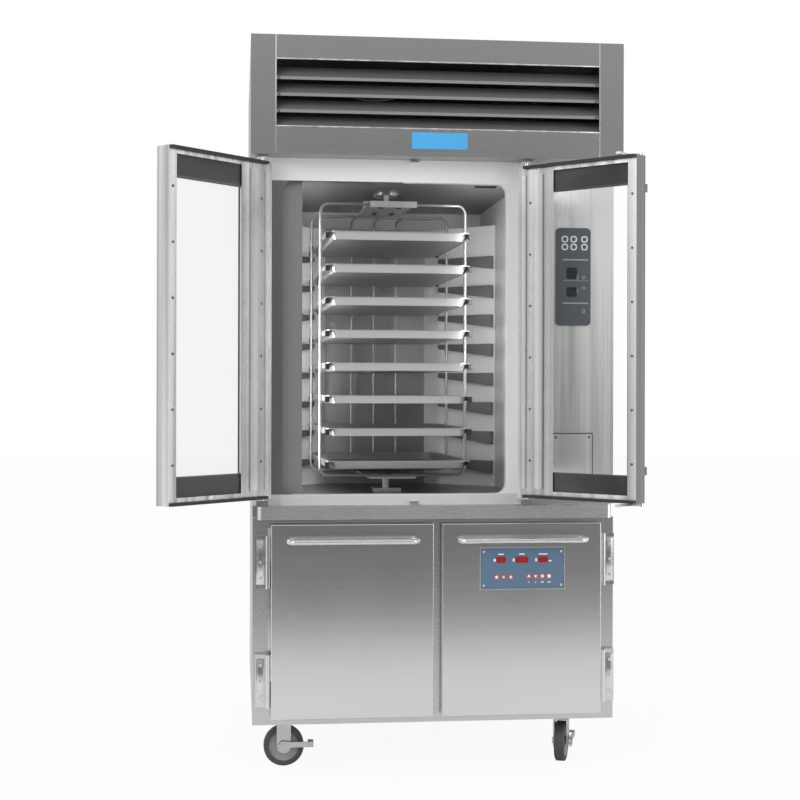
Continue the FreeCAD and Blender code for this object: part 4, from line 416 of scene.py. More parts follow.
class Finishes:
    """All finishes of the oven, made once and handed out by name."""

    RECIPES = (
        BrushedSteel("sheet_across", Grain.ACROSS, 0.62, 0.27),
        BrushedSteel("sheet_deep", Grain.DEEP, 0.52, 0.30),
        BrushedSteel("sheet_upright", Grain.UPRIGHT, 0.70, 0.27),
        BrushedSteel("stile_sheet", Grain.UPRIGHT, 0.60, 0.27, 0.05, 0.9, 0.35),
        BrushedSteel("stile_fold", Grain.UPRIGHT, 0.74, 0.24, 0.05, 0.8, 0.25),
        # dark copy of the stile steel for the right door's free edge: painted shade
        BrushedSteel("shaded_edge_sheet", Grain.UPRIGHT, 0.22, 0.30, 0.05, 0.9, 0.20),
        # column fascia: its rise paints shade, darker towards the bottom
        BrushedSteel("column_sheet", Grain.UPRIGHT, 0.82, 0.28, 0.03, 0.60, 0.26, 0.55),
        BrushedSteel("canopy_sheet", Grain.ACROSS, 0.44, 0.27, 0.03),
        BrushedSteel("canopy_side", Grain.DEEP, 0.44, 0.50, 0.04, 0.9),
        BrushedSteel("ledge_sheet", Grain.ACROSS, 0.76, 0.27, 0.04, 0.9),
        BrushedSteel("door_sheet", Grain.ACROSS, 0.72, 0.21, 0.025),
        BrushedSteel("chamber_sheet", Grain.UPRIGHT, 0.93, 0.34, 0.03, 0.06),
        BrushedSteel("smoked_sheet", Grain.ACROSS, 0.30, 0.38, 0.10, 0.60),
        BrushedSteel("duct_sheet", Grain.UPRIGHT, 0.34, 0.40, 0.05, 0.70),
        # dark, dull copy of the duct steel for the air hoods: painted shade
        BrushedSteel("shaded_hood_sheet", Grain.ACROSS, 0.22, 0.55, 0.05, 0.40),
        BrushedSteel("frame_sheet", Grain.ACROSS, 0.84, 0.34, 0.03, 0.55),
        # frame finish with painted light and shade; the rail heights are 0.852 m and 1.810 m
        FrameSteel("oven_frame_light_and_shade", (0.852, 1.810)),
        # lit and shaded copies of the blade steel: blade_shade is painted shade on the slopes, blade_lip is
        # painted light on the front lips
        BrushedSteel("blade_shade", Grain.ACROSS, 0.20, 0.50, 0.06, 0.3),
        BrushedSteel("blade_lip", Grain.ACROSS, 0.46, 0.32, 0.04, 0.9),
        PolishedSteel("bright_steel"),
        PolishedSteel("zinc_plate", 0.62, 0.30),
        PolishedSteel("rod_steel", 0.46, 0.38),
        PolishedSteel("dark_screw", 0.16, 0.35),
        BrushedSteel("tray_sheet", Grain.ACROSS, 0.56, 0.36, 0.03, 0.80),
        CoatedFinish("grey_seal", (0.30, 0.30, 0.30), 0.60),
        CoatedFinish("flue_soot", (0.022, 0.021, 0.020), 0.85, 0.20),
        CoatedFinish("wool", (0.52, 0.47, 0.33), 0.90, 0.25, 120.0, 0.002),
        CoatedFinish("black_board", (0.060, 0.060, 0.062), 0.70),
        CoatedFinish("motor_paint", (0.05, 0.055, 0.06), 0.70),
        CoatedFinish("slate_film", (0.094, 0.111, 0.126), 0.30, 0.06),
        CoatedFinish("steel_blue_film", (0.105, 0.172, 0.262), 0.40, 0.05),
        CoatedFinish("rubber_black", (0.02, 0.02, 0.021), 0.60),
        CoatedFinish("wheel_rubber", (0.06, 0.06, 0.062), 0.55),
        CoatedFinish("hub_plastic", (0.30, 0.30, 0.31), 0.40, 0.06),
        CoatedFinish("blue_enamel", (0.085, 0.43, 0.82), 0.30, 0.05),
        CoatedFinish("white_ink", (0.80, 0.82, 0.84), 0.50, 0.04),
        CoatedFinish("red_ink", (0.25, 0.135, 0.175), 0.50, 0.06),
        CoatedFinish("grey_ink", (0.40, 0.42, 0.44), 0.50, 0.08),
        CoatedFinish("window_film", (0.016, 0.022, 0.020), 0.18, 0.08),
        Lamp("red_digits", (0.34, 0.012, 0.016), 0.10),
        ClearGlass("door_glass"),
    )

    def __init__(self) -> None:
        """Make every finish."""
        self.made = {recipe.name: recipe.make() for recipe in self.RECIPES}

    def __getitem__(self, name: str) -> bpy.types.Material:
        """Finish with this name."""
        return self.made[name]

    def dress(self, piece: Piece, name: str) -> None:
        """Give a piece one finish all over."""
        piece.data.materials.clear()
        piece.data.materials.append(self.made[name])


NODE_FINISH = {
    "sheet_across": ("base_chassis",),
    "canopy_sheet": ("canopy_fascia",),
    "ledge_sheet": ("drip_ledge",),
    "sheet_deep": ("oven_skins", "base_sheets"),
    "sheet_upright": ("flue_spigot", "fan_impeller"),
    "door_sheet": ("base_left_door_panel", "base_right_door_panel"),
    "stile_sheet": ("left_door_shell", "right_door_shell"),
    "column_sheet": ("column_fascia",),
    "chamber_sheet": ("chamber_liner", "proofer_runners", "humidifier"),
    "duct_sheet": ("duct_panels", "rack_rails"),
    "oven_frame_light_and_shade": ("oven_front_frame",),
    "frame_sheet": ("rack_hanger",),
    "rod_steel": ("rack_loops",),
    "blade_shade": ("louvre_blades",),
    "canopy_side": ("canopy_casing",),
    "bright_steel": ("frame_hardware", "door_latch", "base_left_door_fittings", "base_right_door_fittings",
                     "base_hinge_posts", "rack_bearings", "heater_elements"),
    "zinc_plate": ("caster_plates", "caster_fl_fork", "caster_fr_fork", "caster_bl_fork", "caster_br_fork",
                   "caster_fl_lever", "caster_fr_lever"),
    "tray_sheet": ("trays",),
    "wool": ("insulation", "base_left_door_core", "base_right_door_core"),
    "black_board": ("left_door_core", "right_door_core"),
    "motor_paint": ("fan_motor", "rack_gearmotor", "electrics_box"),
    "slate_film": ("oven_control_panel",),
    "steel_blue_film": ("proofer_control_panel",),
    "rubber_black": ("left_door_gasket", "right_door_gasket"),
    "grey_seal": ("base_left_door_gasket", "base_right_door_gasket"),
    "wheel_rubber": ("caster_fl_wheel", "caster_fr_wheel", "caster_bl_wheel", "caster_br_wheel"),
    "blue_enamel": ("name_plate",),
    "door_glass": ("left_door_glass", "right_door_glass"),
}


@dataclass
class Studio:
    """White room, soft lamps and the camera at the photograph's place."""

    eye: Place = (-0.6003, -5.0544, 1.1702)
    yaw: float = 0.10841
    roll: float = -0.0024
    lens: float = 66.32
    shift: float = -0.0119
    floor_half: float = 12.0
    floor_front: float = -3.1
    room_light: float = 0.85
    lamps: tuple[tuple[Any, ...], ...] = (
        ("key", (-3.4, -3.6, 3.4), (0.0, -0.4, 1.2), 2.6, 80.0),
        ("fill", (3.8, -3.0, 1.6), (0.0, -0.3, 1.3), 2.6, 50.0),
        ("oven_light_left", (-0.470, -0.415, 1.33), (0.20, 0.24, 1.40), 0.05, 3.8, 0.80),
        ("oven_light_right", (0.150, -0.505, 1.50), (0.26, 0.25, 1.50), 0.03, 1.3, 0.60),
    )

    def build(self) -> None:
        """Floor, world, lamps and camera."""
        self.floor()
        self.world()
        for lamp in self.lamps:
            self.lamp(*lamp)
        self.camera()

    def floor(self) -> None:
        """Pale floor that keeps a soft shadow and is white to the eye."""
        middle = self.floor_front + self.floor_half
        bpy.ops.mesh.primitive_plane_add(size=2.0 * self.floor_half, location=(0.0, middle, 0.0))
        floor = bpy.context.active_object
        floor.name = "floor"
        floor.data.materials.append(PaleFloor("pale_floor").make())

    def world(self) -> None:
        """White behind the oven, a darker room behind the camera."""
        world = bpy.data.worlds.new("room")
        world.use_nodes = True
        bpy.context.scene.world = world
        recipe = Recipe(world.node_tree)
        way = recipe.node("ShaderNodeTexCoord").outputs["Generated"]
        parts = recipe.node("ShaderNodeSeparateXYZ", inputs={0: way})
        up = Value(recipe, parts.outputs["Z"]).at_least(0.0)
        back = Value(recipe, parts.outputs["Y"]) * 0.5 + 0.5 + 0.5 * up
        room = recipe.ramp(back, [(0.0, (0.17, 0.17, 0.173)), (0.05, (0.26, 0.26, 0.263)),
                                  (0.16, (0.80, 0.80, 0.805)), (0.40, grey(1.0))])
        soft, white = (recipe.node("ShaderNodeBackground", inputs={"Color": colour, "Strength": strength})
                       for colour, strength in ((room, self.room_light), (WHITE, 1.0)))
        mixed = recipe.node("ShaderNodeMixShader",
                            inputs={0: recipe.looked_at(), 1: soft.outputs[0], 2: white.outputs[0]})
        recipe.node("ShaderNodeOutputWorld", inputs={"Surface": mixed.outputs[0]})

    def lamp(self, name: str, place: Place, aim: Place, size: float, power: float, height: float = 0.0) -> None:
        """Soft area lamp.

        Args:
            name: name of the lamp.
            place: its centre.
            aim: point that it faces.
            size: side length in metres.
            power: watts.
            height: the other side of an oblong lamp, or zero for a square one.
        """
        data = bpy.data.lights.new(name, "AREA")
        data.shape = "RECTANGLE"
        data.size = size
        data.size_y = height or size
        data.energy = power
        lamp = bpy.data.objects.new(name, data)
        lamp.location = place
        lamp.rotation_euler = (Vector(aim) - Vector(place)).to_track_quat("-Z", "Y").to_euler()
        bpy.context.scene.collection.objects.link(lamp)

    def camera(self) -> None:
        """Camera at the fitted place, turn, lens and shift."""
        data = bpy.data.cameras.new("camera")
        data.lens = self.lens
        data.shift_y = self.shift
        data.clip_end = 100.0
        camera = bpy.data.objects.new("camera", data)
        camera.location = self.eye
        camera.rotation_euler = (math.pi / 2.0, self.roll, -self.yaw)
        bpy.context.scene.collection.objects.link(camera)
        bpy.context.scene.camera = camera
        bpy.context.scene.view_settings.view_transform = "Standard"


class Bench:
    """Modelling steps on mesh pieces, each left at the origin with its place in its mesh."""

    @staticmethod
    def clear() -> None:
        """Leave nothing selected."""
        for piece in bpy.context.selected_objects:
            piece.select_set(False)

    @classmethod
    def choose(cls, piece: Piece) -> None:
        """Make a piece the only one selected, and active.

        Args:
            piece: the piece.
        """
        cls.clear()
        piece.select_set(True)
        bpy.context.view_layer.objects.active = piece

    @classmethod
    def block(cls, name: str, low: Place, high: Place) -> Piece:
        """Plain block to start a piece from.

        Args:
            name: name of the piece.
            low: lowest corner.
            high: highest corner.

        Returns:
            The block, with its place in its mesh.
        """
        cls.clear()
        middle = [(a + b) / 2.0 for a, b in zip(low, high)]
        bpy.ops.mesh.primitive_cube_add(size=1.0, location=middle, scale=[b - a for a, b in zip(low, high)])
        return cls.settle(name)

    @classmethod
    def round_bar(cls, name: str, radius: float, height: float, sides: int = 24) -> Piece:
        """Plain upright disc or bar standing on the origin.

        Args:
            name: name of the piece.
            radius: its radius.
            height: its height.
            sides: faces round it.

        Returns:
            The bar.
        """
        cls.clear()
        bpy.ops.mesh.primitive_cylinder_add(vertices=sides, radius=radius, depth=height,
                                            location=(0.0, 0.0, height / 2.0))
        return cls.settle(name)

    @classmethod
    def settle(cls, name: str) -> Piece:
        """Name the active object and move its place into its mesh.

        Args:
            name: name of the piece.

        Returns:
            The piece.
        """
        piece = bpy.context.active_object
        bpy.ops.object.transform_apply(location=True, rotation=True, scale=True)
        piece.name = name
        piece.data.name = name
        return piece

    @classmethod
    def edit(cls, piece: Piece, chosen: Callable[[Any], bool], *steps: Callable[[], Any],
             kind: str = "FACE") -> None:
        """Run edit-mode steps on chosen faces or edges.

        Args:
            piece: the piece to shape.
            chosen: test that picks them.
            steps: operator calls, run in order.
            kind: "FACE" or "EDGE".
        """
        cls.choose(piece)
        bpy.ops.object.mode_set(mode="EDIT")
        bpy.ops.mesh.select_mode(type=kind)
        bpy.ops.mesh.select_all(action="DESELECT")
        bpy.ops.object.mode_set(mode="OBJECT")
        for part in piece.data.polygons if kind == "FACE" else piece.data.edges:
            part.select = chosen(part)
        bpy.ops.object.mode_set(mode="EDIT")
        for step in steps:
            step()
        bpy.ops.object.mode_set(mode="OBJECT")

    @staticmethod
    def extrude(way: Place, push: float) -> None:
        """Extrude the selected faces one way; a push below zero goes back."""
        bpy.ops.mesh.extrude_region_move(TRANSFORM_OT_translate={"value": tuple(push * part for part in way)})

    @classmethod
    def press(cls, piece: Piece, way: Place, inset: float, push: float, walls: bool = True,
              least: float = STRAIGHT) -> None:
        """Inset the faces that look one way and move them out or in.

        Args:
            piece: the piece to shape.
            way: where the faces look.
            inset: width of the rim that stays.
            push: how far they move that way; below zero they go in.
            walls: whether the step has straight walls, or else a slope.
            least: how straight a face has to look that way.
        """
        shift = tuple(push * part for part in way)
        cls.edit(piece, lambda face: face.normal.dot(Vector(way)) > least,
                 lambda: bpy.ops.mesh.inset(thickness=inset),
                 lambda: cls.extrude(way, push) if walls else bpy.ops.transform.translate(value=shift))

    @classmethod
    def bevel(cls, piece: Piece, width: float, segments: int = 2) -> None:
        """Round all sharp edges of a piece.

        Args:
            piece: the piece to finish.
            width: width of the bevel.
            segments: faces across it.
        """
        cls.choose(piece)
        step = piece.modifiers.new("bevel", "BEVEL")
        step.width = width
        step.segments = segments
        step.limit_method = "ANGLE"
        bpy.ops.object.modifier_apply(modifier=step.name)
        bpy.ops.object.shade_smooth_by_angle(angle=SMOOTH)

    @classmethod
    def copies(cls, name: str, model: Piece, places: Iterable[Matrix]) -> Piece:
        """Join copies of one model into a single piece, and remove the model.

        Args:
            name: name of the piece.
            model: what is copied.
            places: place and turn of each copy.

        Returns:
            The joined piece.
        """
        made = []
        for place in places:
            copy = bpy.data.objects.new(name, model.data.copy())
            copy.data.transform(place)
            bpy.context.scene.collection.objects.link(copy)
            made.append(copy)
        bpy.data.objects.remove(model)
        return cls.joined(name, made)

    @classmethod
    def joined(cls, name: str, pieces: Sequence[Piece]) -> Piece:
        """Join several meshes into one piece.

        Args:
            name: name of the piece.
            pieces: what is joined.

        Returns:
            The joined piece.
        """
        cls.clear()
        for piece in pieces:
            piece.select_set(True)
        bpy.context.view_layer.objects.active = pieces[0]
        if len(pieces) > 1:
            bpy.ops.object.join()
        pieces[0].name = name
        pieces[0].data.name = name
        return pieces[0]


def facing(place: Sequence[float], way: Sequence[float]) -> Matrix:
    """Matrix that stands a Z-up model with its foot at a place and its top pointing one way."""
    return Matrix.Translation(place) @ Vector(way).to_track_quat("Z", "Y").to_matrix().to_4x4()


def joint(name: str) -> dict[str, Any]:
    """Entry of a joint in the record."""
    return next(entry for entry in frame["record"]["behaviour"]["joints"] if entry["name"] == name)


@dataclass
class Trim:
    """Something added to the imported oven: small pieces, or finishes of its faces."""

    finishes: Finishes

    def build(self) -> None:
        """Make it all."""
        raise NotImplementedError

    def fit(self, piece: Piece, body: str, finish: str, slot: str) -> Piece:
        """Dress a piece, tie it to a body and log it.

        Args:
            piece: the finished mesh.
            body: body that carries it.
            finish: name of its finish.
            slot: material slot of the record; not used.

        Returns:
            The same piece.
        """
        self.finishes.dress(piece, finish)
        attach(piece, body)
        LOG.info("%s on %s: %s", piece.name, body, finish)
        return piece

    def screws(self, name: str, body: str, places: Iterable[Matrix], finish: str = "bright_steel",
               radius: float = 0.0040, height: float = 0.0018) -> None:
        """Pan-head screws with a recessed socket, as one piece.

        Args:
            name: name of the set.
            body: body that carries it.
            places: place of each head.
            finish: name of their finish.
            radius: radius of a head.
            height: height of a head.
        """
        head = Bench.round_bar("screw_head", radius, height, 16)
        Bench.press(head, UP, radius / 2.0, -height / 2.0)
        Bench.bevel(head, height / 4.0)
        self.fit(Bench.copies(name, head, places), body, finish, "polished_stainless")

    def blocks(self, name: str, body: str, finish: str, slot: str, boxes: Iterable[tuple[Place, Place]],
               edge: float, press: tuple[Place, float, float] | None = None) -> None:
        """Shaped blocks, as one piece.

        Args:
            name: name of the set.
            body: body that carries it.
            finish: name of its finish.
            slot: material slot of the record.
            boxes: lowest and highest corner of each block.
            edge: width of the bevels.
            press: way, rim and push of a pressed face, if there is one.
        """
        made = []
        for low, high in boxes:
            block = Bench.block(name, low, high)
            if press:
                Bench.press(block, *press)
            Bench.bevel(block, edge)
            made.append(block)
        self.fit(Bench.joined(name, made), body, finish, slot)


class Side(Enum):
    """Hand of a door: sign of its leaf direction from the pivot."""

    LEFT = 1.0
    RIGHT = -1.0


@dataclass
class OvenDoorTrim(Trim):
    """Screws, fold and hinge strip of one open oven door."""

    side: Side
    joint: str
    body: str
    swing: float = math.radians(135.0)
    half: float = 0.0255
    screw_rows: Pair = (0.386, 0.032)
    fold: Place = (0.050, 0.080, 0.0040)
    hinge_strip: Place = (0.004, 0.018, 0.0025)
    strip_end: float = 0.03
    relief: Pair = (0.002, 0.0008)
    low: float = 0.843
    high: float = 1.857
    pitch: float = 0.157

    def place(self) -> Matrix:
        """Matrix from the closed door's pivot frame to the open pose.

        Returns:
            The matrix.
        """
        pivot = joint(self.joint)["pos_m"]
        turn = Matrix.Rotation(-self.side.value * self.swing, 4, "Z")
        return Matrix.Translation((pivot[0], pivot[1], 0.0)) @ turn

    def build(self) -> None:
        """Make and place the trim."""
        hand, where = self.side.value, self.place()
        name = self.side.name.lower()
        rows = int((self.high - self.low) / self.pitch)
        start = (self.high + self.low - (rows - 1) * self.pitch) / 2.0
        spots = [where @ facing((hand * across, self.half, start + row * self.pitch), BACK)
                 for across in self.screw_rows for row in range(rows)]
        self.screws(f"{name}_door_screws", self.body, spots, "dark_screw")
        for label, (near, far, thick) in (("fold", self.fold), ("hinge_strip", self.hinge_strip)):
            left, right = sorted((hand * near, hand * far))
            strip = Bench.block(f"{name}_door_{label}", (left, self.half, self.low + self.strip_end),
                                (right, self.half + thick, self.high - self.strip_end))
            Bench.press(strip, BACK, *self.relief)
            strip.data.transform(where)
            self.fit(strip, self.body, "stile_fold", "brushed_stainless")


@dataclass
class KeyPlate(Trim):
    """Flat printed shapes on a front panel that faces -Y, laid out from its lower left corner."""

    name: str
    body: str
    corner: Place
    field: str
    lift: float = 0.0008
    sink: float = 0.6
    segments: int = 5
    glyph_crown: Pair = (0.2, 0.1)

    def patch(self, label: str, x: float, z: float, width: float, height: float, hollow: float,
              round_share: float) -> Piece:
        """Rounded patch, optionally a ring.

        Args:
            label: name of the patch.
            x: centre from the corner.
            z: centre from the corner.
            width: width of the patch.
            height: height of the patch.
            hollow: ring width, or zero for a filled patch.
            round_share: corner radius as a share of the smaller side.

        Returns:
            The patch.
        """
        left, front, low = self.corner
        patch = Bench.block(label, (left + x - width / 2.0, front - self.lift, low + z - height / 2.0),
                            (left + x + width / 2.0, front, low + z + height / 2.0))

        def deep(edge: bpy.types.MeshEdge) -> bool:
            """Whether an edge runs through the patch's thickness."""
            one, two = (patch.data.vertices[index].co for index in edge.vertices)
            return abs(one.y - two.y) > self.lift / 2.0

        radius = round_share * min(width, height)
        Bench.edit(patch, deep, lambda: bpy.ops.mesh.bevel(offset=radius, segments=self.segments), kind="EDGE")
        if hollow:
            Bench.press(patch, FRONT, hollow, -self.sink * self.lift)
        return patch

    def glyphs(self, label: str, finish: str, spots: Sequence[tuple[float, float, float, int, float]]) -> None:
        """Plain triangles, squares and hexagons printed on the panel.

        Args:
            label: name of the set.
            finish: its finish.
            spots: centre x, centre z, radius, number of corners and turn in degrees of each.
        """
        left, front, low = self.corner
        rim, rise = self.glyph_crown
        made = []
        for x, z, radius, sides, turn in spots:
            glyph = Bench.round_bar(label, radius, 2.0 * self.lift, sides)
            Bench.press(glyph, UP, rim * radius, rise * self.lift, False)
            spin = Matrix.Rotation(math.radians(turn), 4, "Z")
            glyph.data.transform(facing((left + x, front, low + z), FRONT) @ spin)
            made.append(glyph)
        self.fit(Bench.joined(f"{self.name}_{label}", made), self.body, finish, "panel_film")

    def row(self, label: str, finish: str, spots: Sequence[Patch],
            hollow: float = 0.0, round_share: float = 0.25) -> None:
        """Join several patches of one finish into a piece.

        Args:
            label: name of the row.
            finish: its finish.
            spots: centre x, centre z, width and height of each patch.
            hollow: ring width, or zero.
            round_share: corner radius as a share of the smaller side.
        """
        made = [self.patch(label, *spot, hollow, round_share) for spot in spots]
        piece = self.fit(Bench.joined(f"{self.name}_{label}", made), self.body, finish, "panel_film")
        if hollow:
            piece.data.materials.append(self.finishes[self.field])
            for face in piece.data.polygons:
                sunk = face.center.y > self.corner[1] - (1.0 - self.sink / 2.0) * self.lift
                face.material_index = 1 if face.normal.y < -STRAIGHT and sunk else 0


@dataclass
class OvenPanel(Trim):
    """Keys, windows and dividing lines of the oven's control panel, in metres from its corner."""

    columns: Place = (0.028, 0.056, 0.090)
    rows: Pair = (0.245, 0.269)
    key: float = 0.021
    middle: float = 0.062
    line: float = 0.082
    ring: Pair = (0.0045, 0.4)
    lines: tuple[Pair, ...] = ((0.070, 0.004), (0.205, 0.004), (0.140, 0.0015))
    windows: tuple[Patch, ...] = ((0.050, 0.163, 0.034, 0.036), (0.050, 0.105, 0.034, 0.030))
    marks: tuple[Patch, ...] = ((0.088, 0.150, 0.010, 0.010), (0.088, 0.118, 0.010, 0.008),
                                (0.088, 0.045, 0.009, 0.012), (0.068, 0.152, 0.006, 0.016),
                                (0.068, 0.108, 0.005, 0.014))
    mark_ring: float = 0.0020

    def build(self) -> None:
        """Make the printed parts."""
        low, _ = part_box("oven_control_panel")
        plate = KeyPlate(self.finishes, "oven_panel", "cabinet", (low.x, low.y, low.z), "slate_film")
        keys = [(x, z, self.key, self.key) for x in self.columns for z in self.rows]
        plate.row("keys", "white_ink", keys, *self.ring)
        plate.row("lines", "grey_ink", [(self.middle, z, self.line, thick) for z, thick in self.lines])
        plate.row("windows", "window_film", self.windows)
        plate.row("marks", "grey_ink", self.marks, self.mark_ring)


@dataclass
class ProoferPanel(Trim):
    """Rim, screws, digit windows and key marks of the proofer's control plate, in metres from its corner."""

    edge: float = 0.003
    rim: Pair = (0.0015, 0.0006)
    screw: Pair = (0.012, 0.014)
    head: Pair = (0.0042, 0.0022)
    windows: tuple[Pair, ...] = ((0.066, 0.030), (0.131, 0.040), (0.197, 0.030))
    digits: Pair = (0.092, 0.019)
    keys: float = 0.039
    left_keys: Pair = (0.074, 0.022)
    right_keys: Pair = (0.184, 0.021)
    left_field: Pair = (0.020, 0.020)
    right_field: Pair = (0.019, 0.022)
    left_mark: float = 0.0052
    right_mark: Pair = (0.002, 0.0062)
    key_name: Pair = (0.0225, 0.003)
    labels: tuple[Patch, ...] = ((0.066, 0.109, 0.018, 0.004), (0.131, 0.109, 0.018, 0.004),
                                 (0.197, 0.109, 0.028, 0.004), (0.046, 0.091, 0.008, 0.009),
                                 (0.105, 0.091, 0.006, 0.010), (0.175, 0.091, 0.006, 0.010),
                                 (0.219, 0.088, 0.010, 0.004))
    label_round: float = 0.4

    def build(self) -> None:
        """Make the printed parts and the plate's rim."""
        low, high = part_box("proofer_control_panel")
        rim = Bench.block("proofer_rim", (low.x, low.y - self.rim[0], low.z), (high.x, low.y, high.z))
        Bench.edit(rim, lambda face: face.normal.y < -STRAIGHT, lambda: bpy.ops.mesh.inset(thickness=self.edge),
                   lambda: bpy.ops.mesh.delete(type="FACE"))
        Bench.edit(rim, lambda face: face.normal.y > STRAIGHT, lambda: bpy.ops.mesh.delete(type="FACE"))
        wall = rim.modifiers.new("wall", "SOLIDIFY")
        wall.thickness = self.rim[1]
        Bench.choose(rim)
        bpy.ops.object.modifier_apply(modifier=wall.name)
        self.fit(rim, "base_right_door", "ledge_sheet", "brushed_stainless")
        across, up = self.screw
        corners = [facing((x, low.y, z), FRONT) for x in (low.x + across, high.x - across)
                   for z in (low.z + up, high.z - up)]
        self.screws("proofer_screws", "base_right_door", corners, "bright_steel", *self.head)
        corner = (low.x, low.y, low.z)
        self.prints(KeyPlate(self.finishes, "proofer_panel", "base_right_door", corner, "steel_blue_film"))

    def prints(self, plate: KeyPlate) -> None:
        """Print the digit windows, keys and marks.

        Args:
            plate: the plate that is printed on.
        """
        left = [self.left_keys[0] + self.left_keys[1] * step for step in (-1, 0, 1)]
        right = [self.right_keys[0] + self.right_keys[1] * step for step in (-1.5, -0.5, 0.5, 1.5)]
        level, tall = self.digits
        plate.row("digits", "red_digits", [(x, level, wide, tall) for x, wide in self.windows])
        fields = [(x, self.keys, *self.left_field) for x in left]
        fields += [(x, self.keys, *self.right_field) for x in right]
        plate.row("key_fields", "red_ink", fields)
        marks = [(x, self.keys, self.left_mark, sides, 0.0) for x, sides in zip(left, (HEXAGON, 3, 4))]
        rise, radius = self.right_mark
        marks += [(x, self.keys + rise, radius, sides, turn)
                  for x, sides, turn in zip(right, (3, 3, 4, HEXAGON), (0.0, 180.0, 45.0, 0.0))]
        plate.glyphs("key_marks", "white_ink", marks)
        level, tall = self.key_name
        names = [(x, level, wide, tall)
                 for wide, keys in ((0.010, right[2:]), (0.004, right[:2])) for x in keys]
        plate.row("key_names", "white_ink", names, 0.0, self.label_round)
        plate.row("labels", "white_ink", self.labels, 0.0, self.label_round)


@dataclass
class AirHoods(Trim):
    """Tapered hoods over the air slots of the two corner ducts."""

    corner: float = 0.4158
    shift: float = 0.030
    half: float = 0.117
    out: float = 0.0155
    first: float = 0.910
    rise: float = 0.0155
    drop: float = 0.030
    taper: float = 0.35
    lip: Pair = (0.002, -0.004)
    slope: float = 0.7
    edge: float = 0.0012

    def build(self) -> None:
        """Make the hoods of both corners."""
        for side, name in ((-1.0, "left_hoods"), (1.0, "right_hoods")):
            hoods = [self.hood(side, self.first + TRAY_PITCH * level) for level in range(TRAY_LEVELS)]
            piece = Bench.joined(name, hoods)
            piece.data.transform(RACK_AXIS @ Matrix.Rotation(-side * math.radians(45.0), 4, "Z"))
            # the hoods get a dark copy of the duct steel: painted shade
            self.fit(piece, "cabinet", "shaded_hood_sheet", "brushed_stainless")

    def hood(self, side: float, height: float) -> Piece:
        """One hood on a panel that faces -Y, wider at its front end.

        Args:
            side: sign of the end that is nearer to the oven's mouth.
            height: height of the slot.

        Returns:
            The hood, in the duct's own frame.
        """
        middle = side * self.shift
        hood = Bench.block("hood", (middle - self.half, self.corner - self.out, height - self.drop),
                           (middle + self.half, self.corner, height + self.rise))
        pivot = (middle - side * self.half, self.corner, height + self.rise)
        Bench.edit(hood, lambda face: face.normal.x * side < -STRAIGHT,
                   lambda: bpy.ops.transform.resize(value=(1.0, 1.0, self.taper), center_override=pivot))
        Bench.press(hood, DOWN, *self.lip, least=self.slope)
        Bench.bevel(hood, self.edge)
        return hood


@dataclass
class CoverShadowGap(Trim):
    """Dark strip round the column's access cover, a painted shadow for the shaded gap round it, with the
    cover's screws.
    """

    low: Pair = (0.368, 0.850)
    high: Pair = (0.492, 1.036)
    face: float = -0.550
    proud: float = 0.002
    # width and thickness of the dark gap strip, a painted shadow
    seal: Pair = (0.0030, 0.0016)
    edge: float = 0.0004
    inset: float = 0.010

    def build(self) -> None:
        """Make the dark gap strip, a painted shadow, and the screws."""
        wide, thick = self.seal
        (left, low), (right, high) = self.low, self.high
        runs = [((left - wide, low - wide), (left, high + wide)),
                ((right, low - wide), (right + wide, high + wide)),
                ((left, low - wide), (right, low)), ((left, high), (right, high + wide))]
        boxes = [((x0, self.face - thick, z0), (x1, self.face, z1)) for (x0, z0), (x1, z1) in runs]
        # painted shadow: a thin dark strip where the gap round the cover is in shade
        self.blocks("cover_shadow_gap", "cabinet", "rubber_black", "black_rubber", boxes, self.edge)
        spots = [facing((x, self.face - self.proud, z), FRONT)
                 for x in (left + self.inset, right - self.inset)
                 for z in (low + self.inset, high - self.inset)]
        self.screws("cover_screws", "cabinet", spots, "dark_screw")


@dataclass
class CanopyTrim(Trim):
    """Screws of the louvre blades, and raised beads along the seams and hems of the canopy's front, in a
    lighter finish that paints a highlight along them.
    """

    inset: float = 0.010
    post: float = 0.494
    bead: Pair = (0.0028, 0.0010)
    sunk: float = 0.0002
    hem: float = 0.004
    seam_end: float = 0.002
    opening: Pair = (1.963, 2.161)
    blades: int = 4
    blade_first: float = 1.9585
    blade_pitch: float = 0.0495
    screw_in: float = 0.0045
    head: Pair = (0.0036, 0.0014)
    edge: float = 0.0004

    def build(self) -> None:
        """Make the screws, beads and hems."""
        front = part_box("louvre_blades")[0].y + self.screw_in
        half = self.post - self.inset
        spots = [facing((side * half, front, self.blade_first + self.blade_pitch * row), FRONT)
                 for side in (-1.0, 1.0) for row in range(self.blades)]
        self.screws("blade_screws", "cabinet", spots, "dark_screw", *self.head)
        low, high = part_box("canopy_fascia")
        wide = self.bead[0] / 2.0
        strips = [((middle - wide, low.z + self.seam_end), (middle + wide, high.z - self.seam_end))
                  for middle in (-self.post, self.post)]
        inner = self.post - wide
        strips += [((-inner, level - rise), (inner, level + self.hem - rise))
                   for level, rise in zip(self.opening, (self.hem, 0.0))]
        boxes = [((x0, low.y - self.bead[1], z0), (x1, low.y + self.sunk, z1)) for (x0, z0), (x1, z1) in strips]
        # the beads are real raised strips; their finish, lighter than the canopy, is a painted highlight on the
        # seams and hems
        self.blocks("canopy_highlight_beads", "cabinet", "stile_fold", "brushed_stainless", boxes, self.edge)


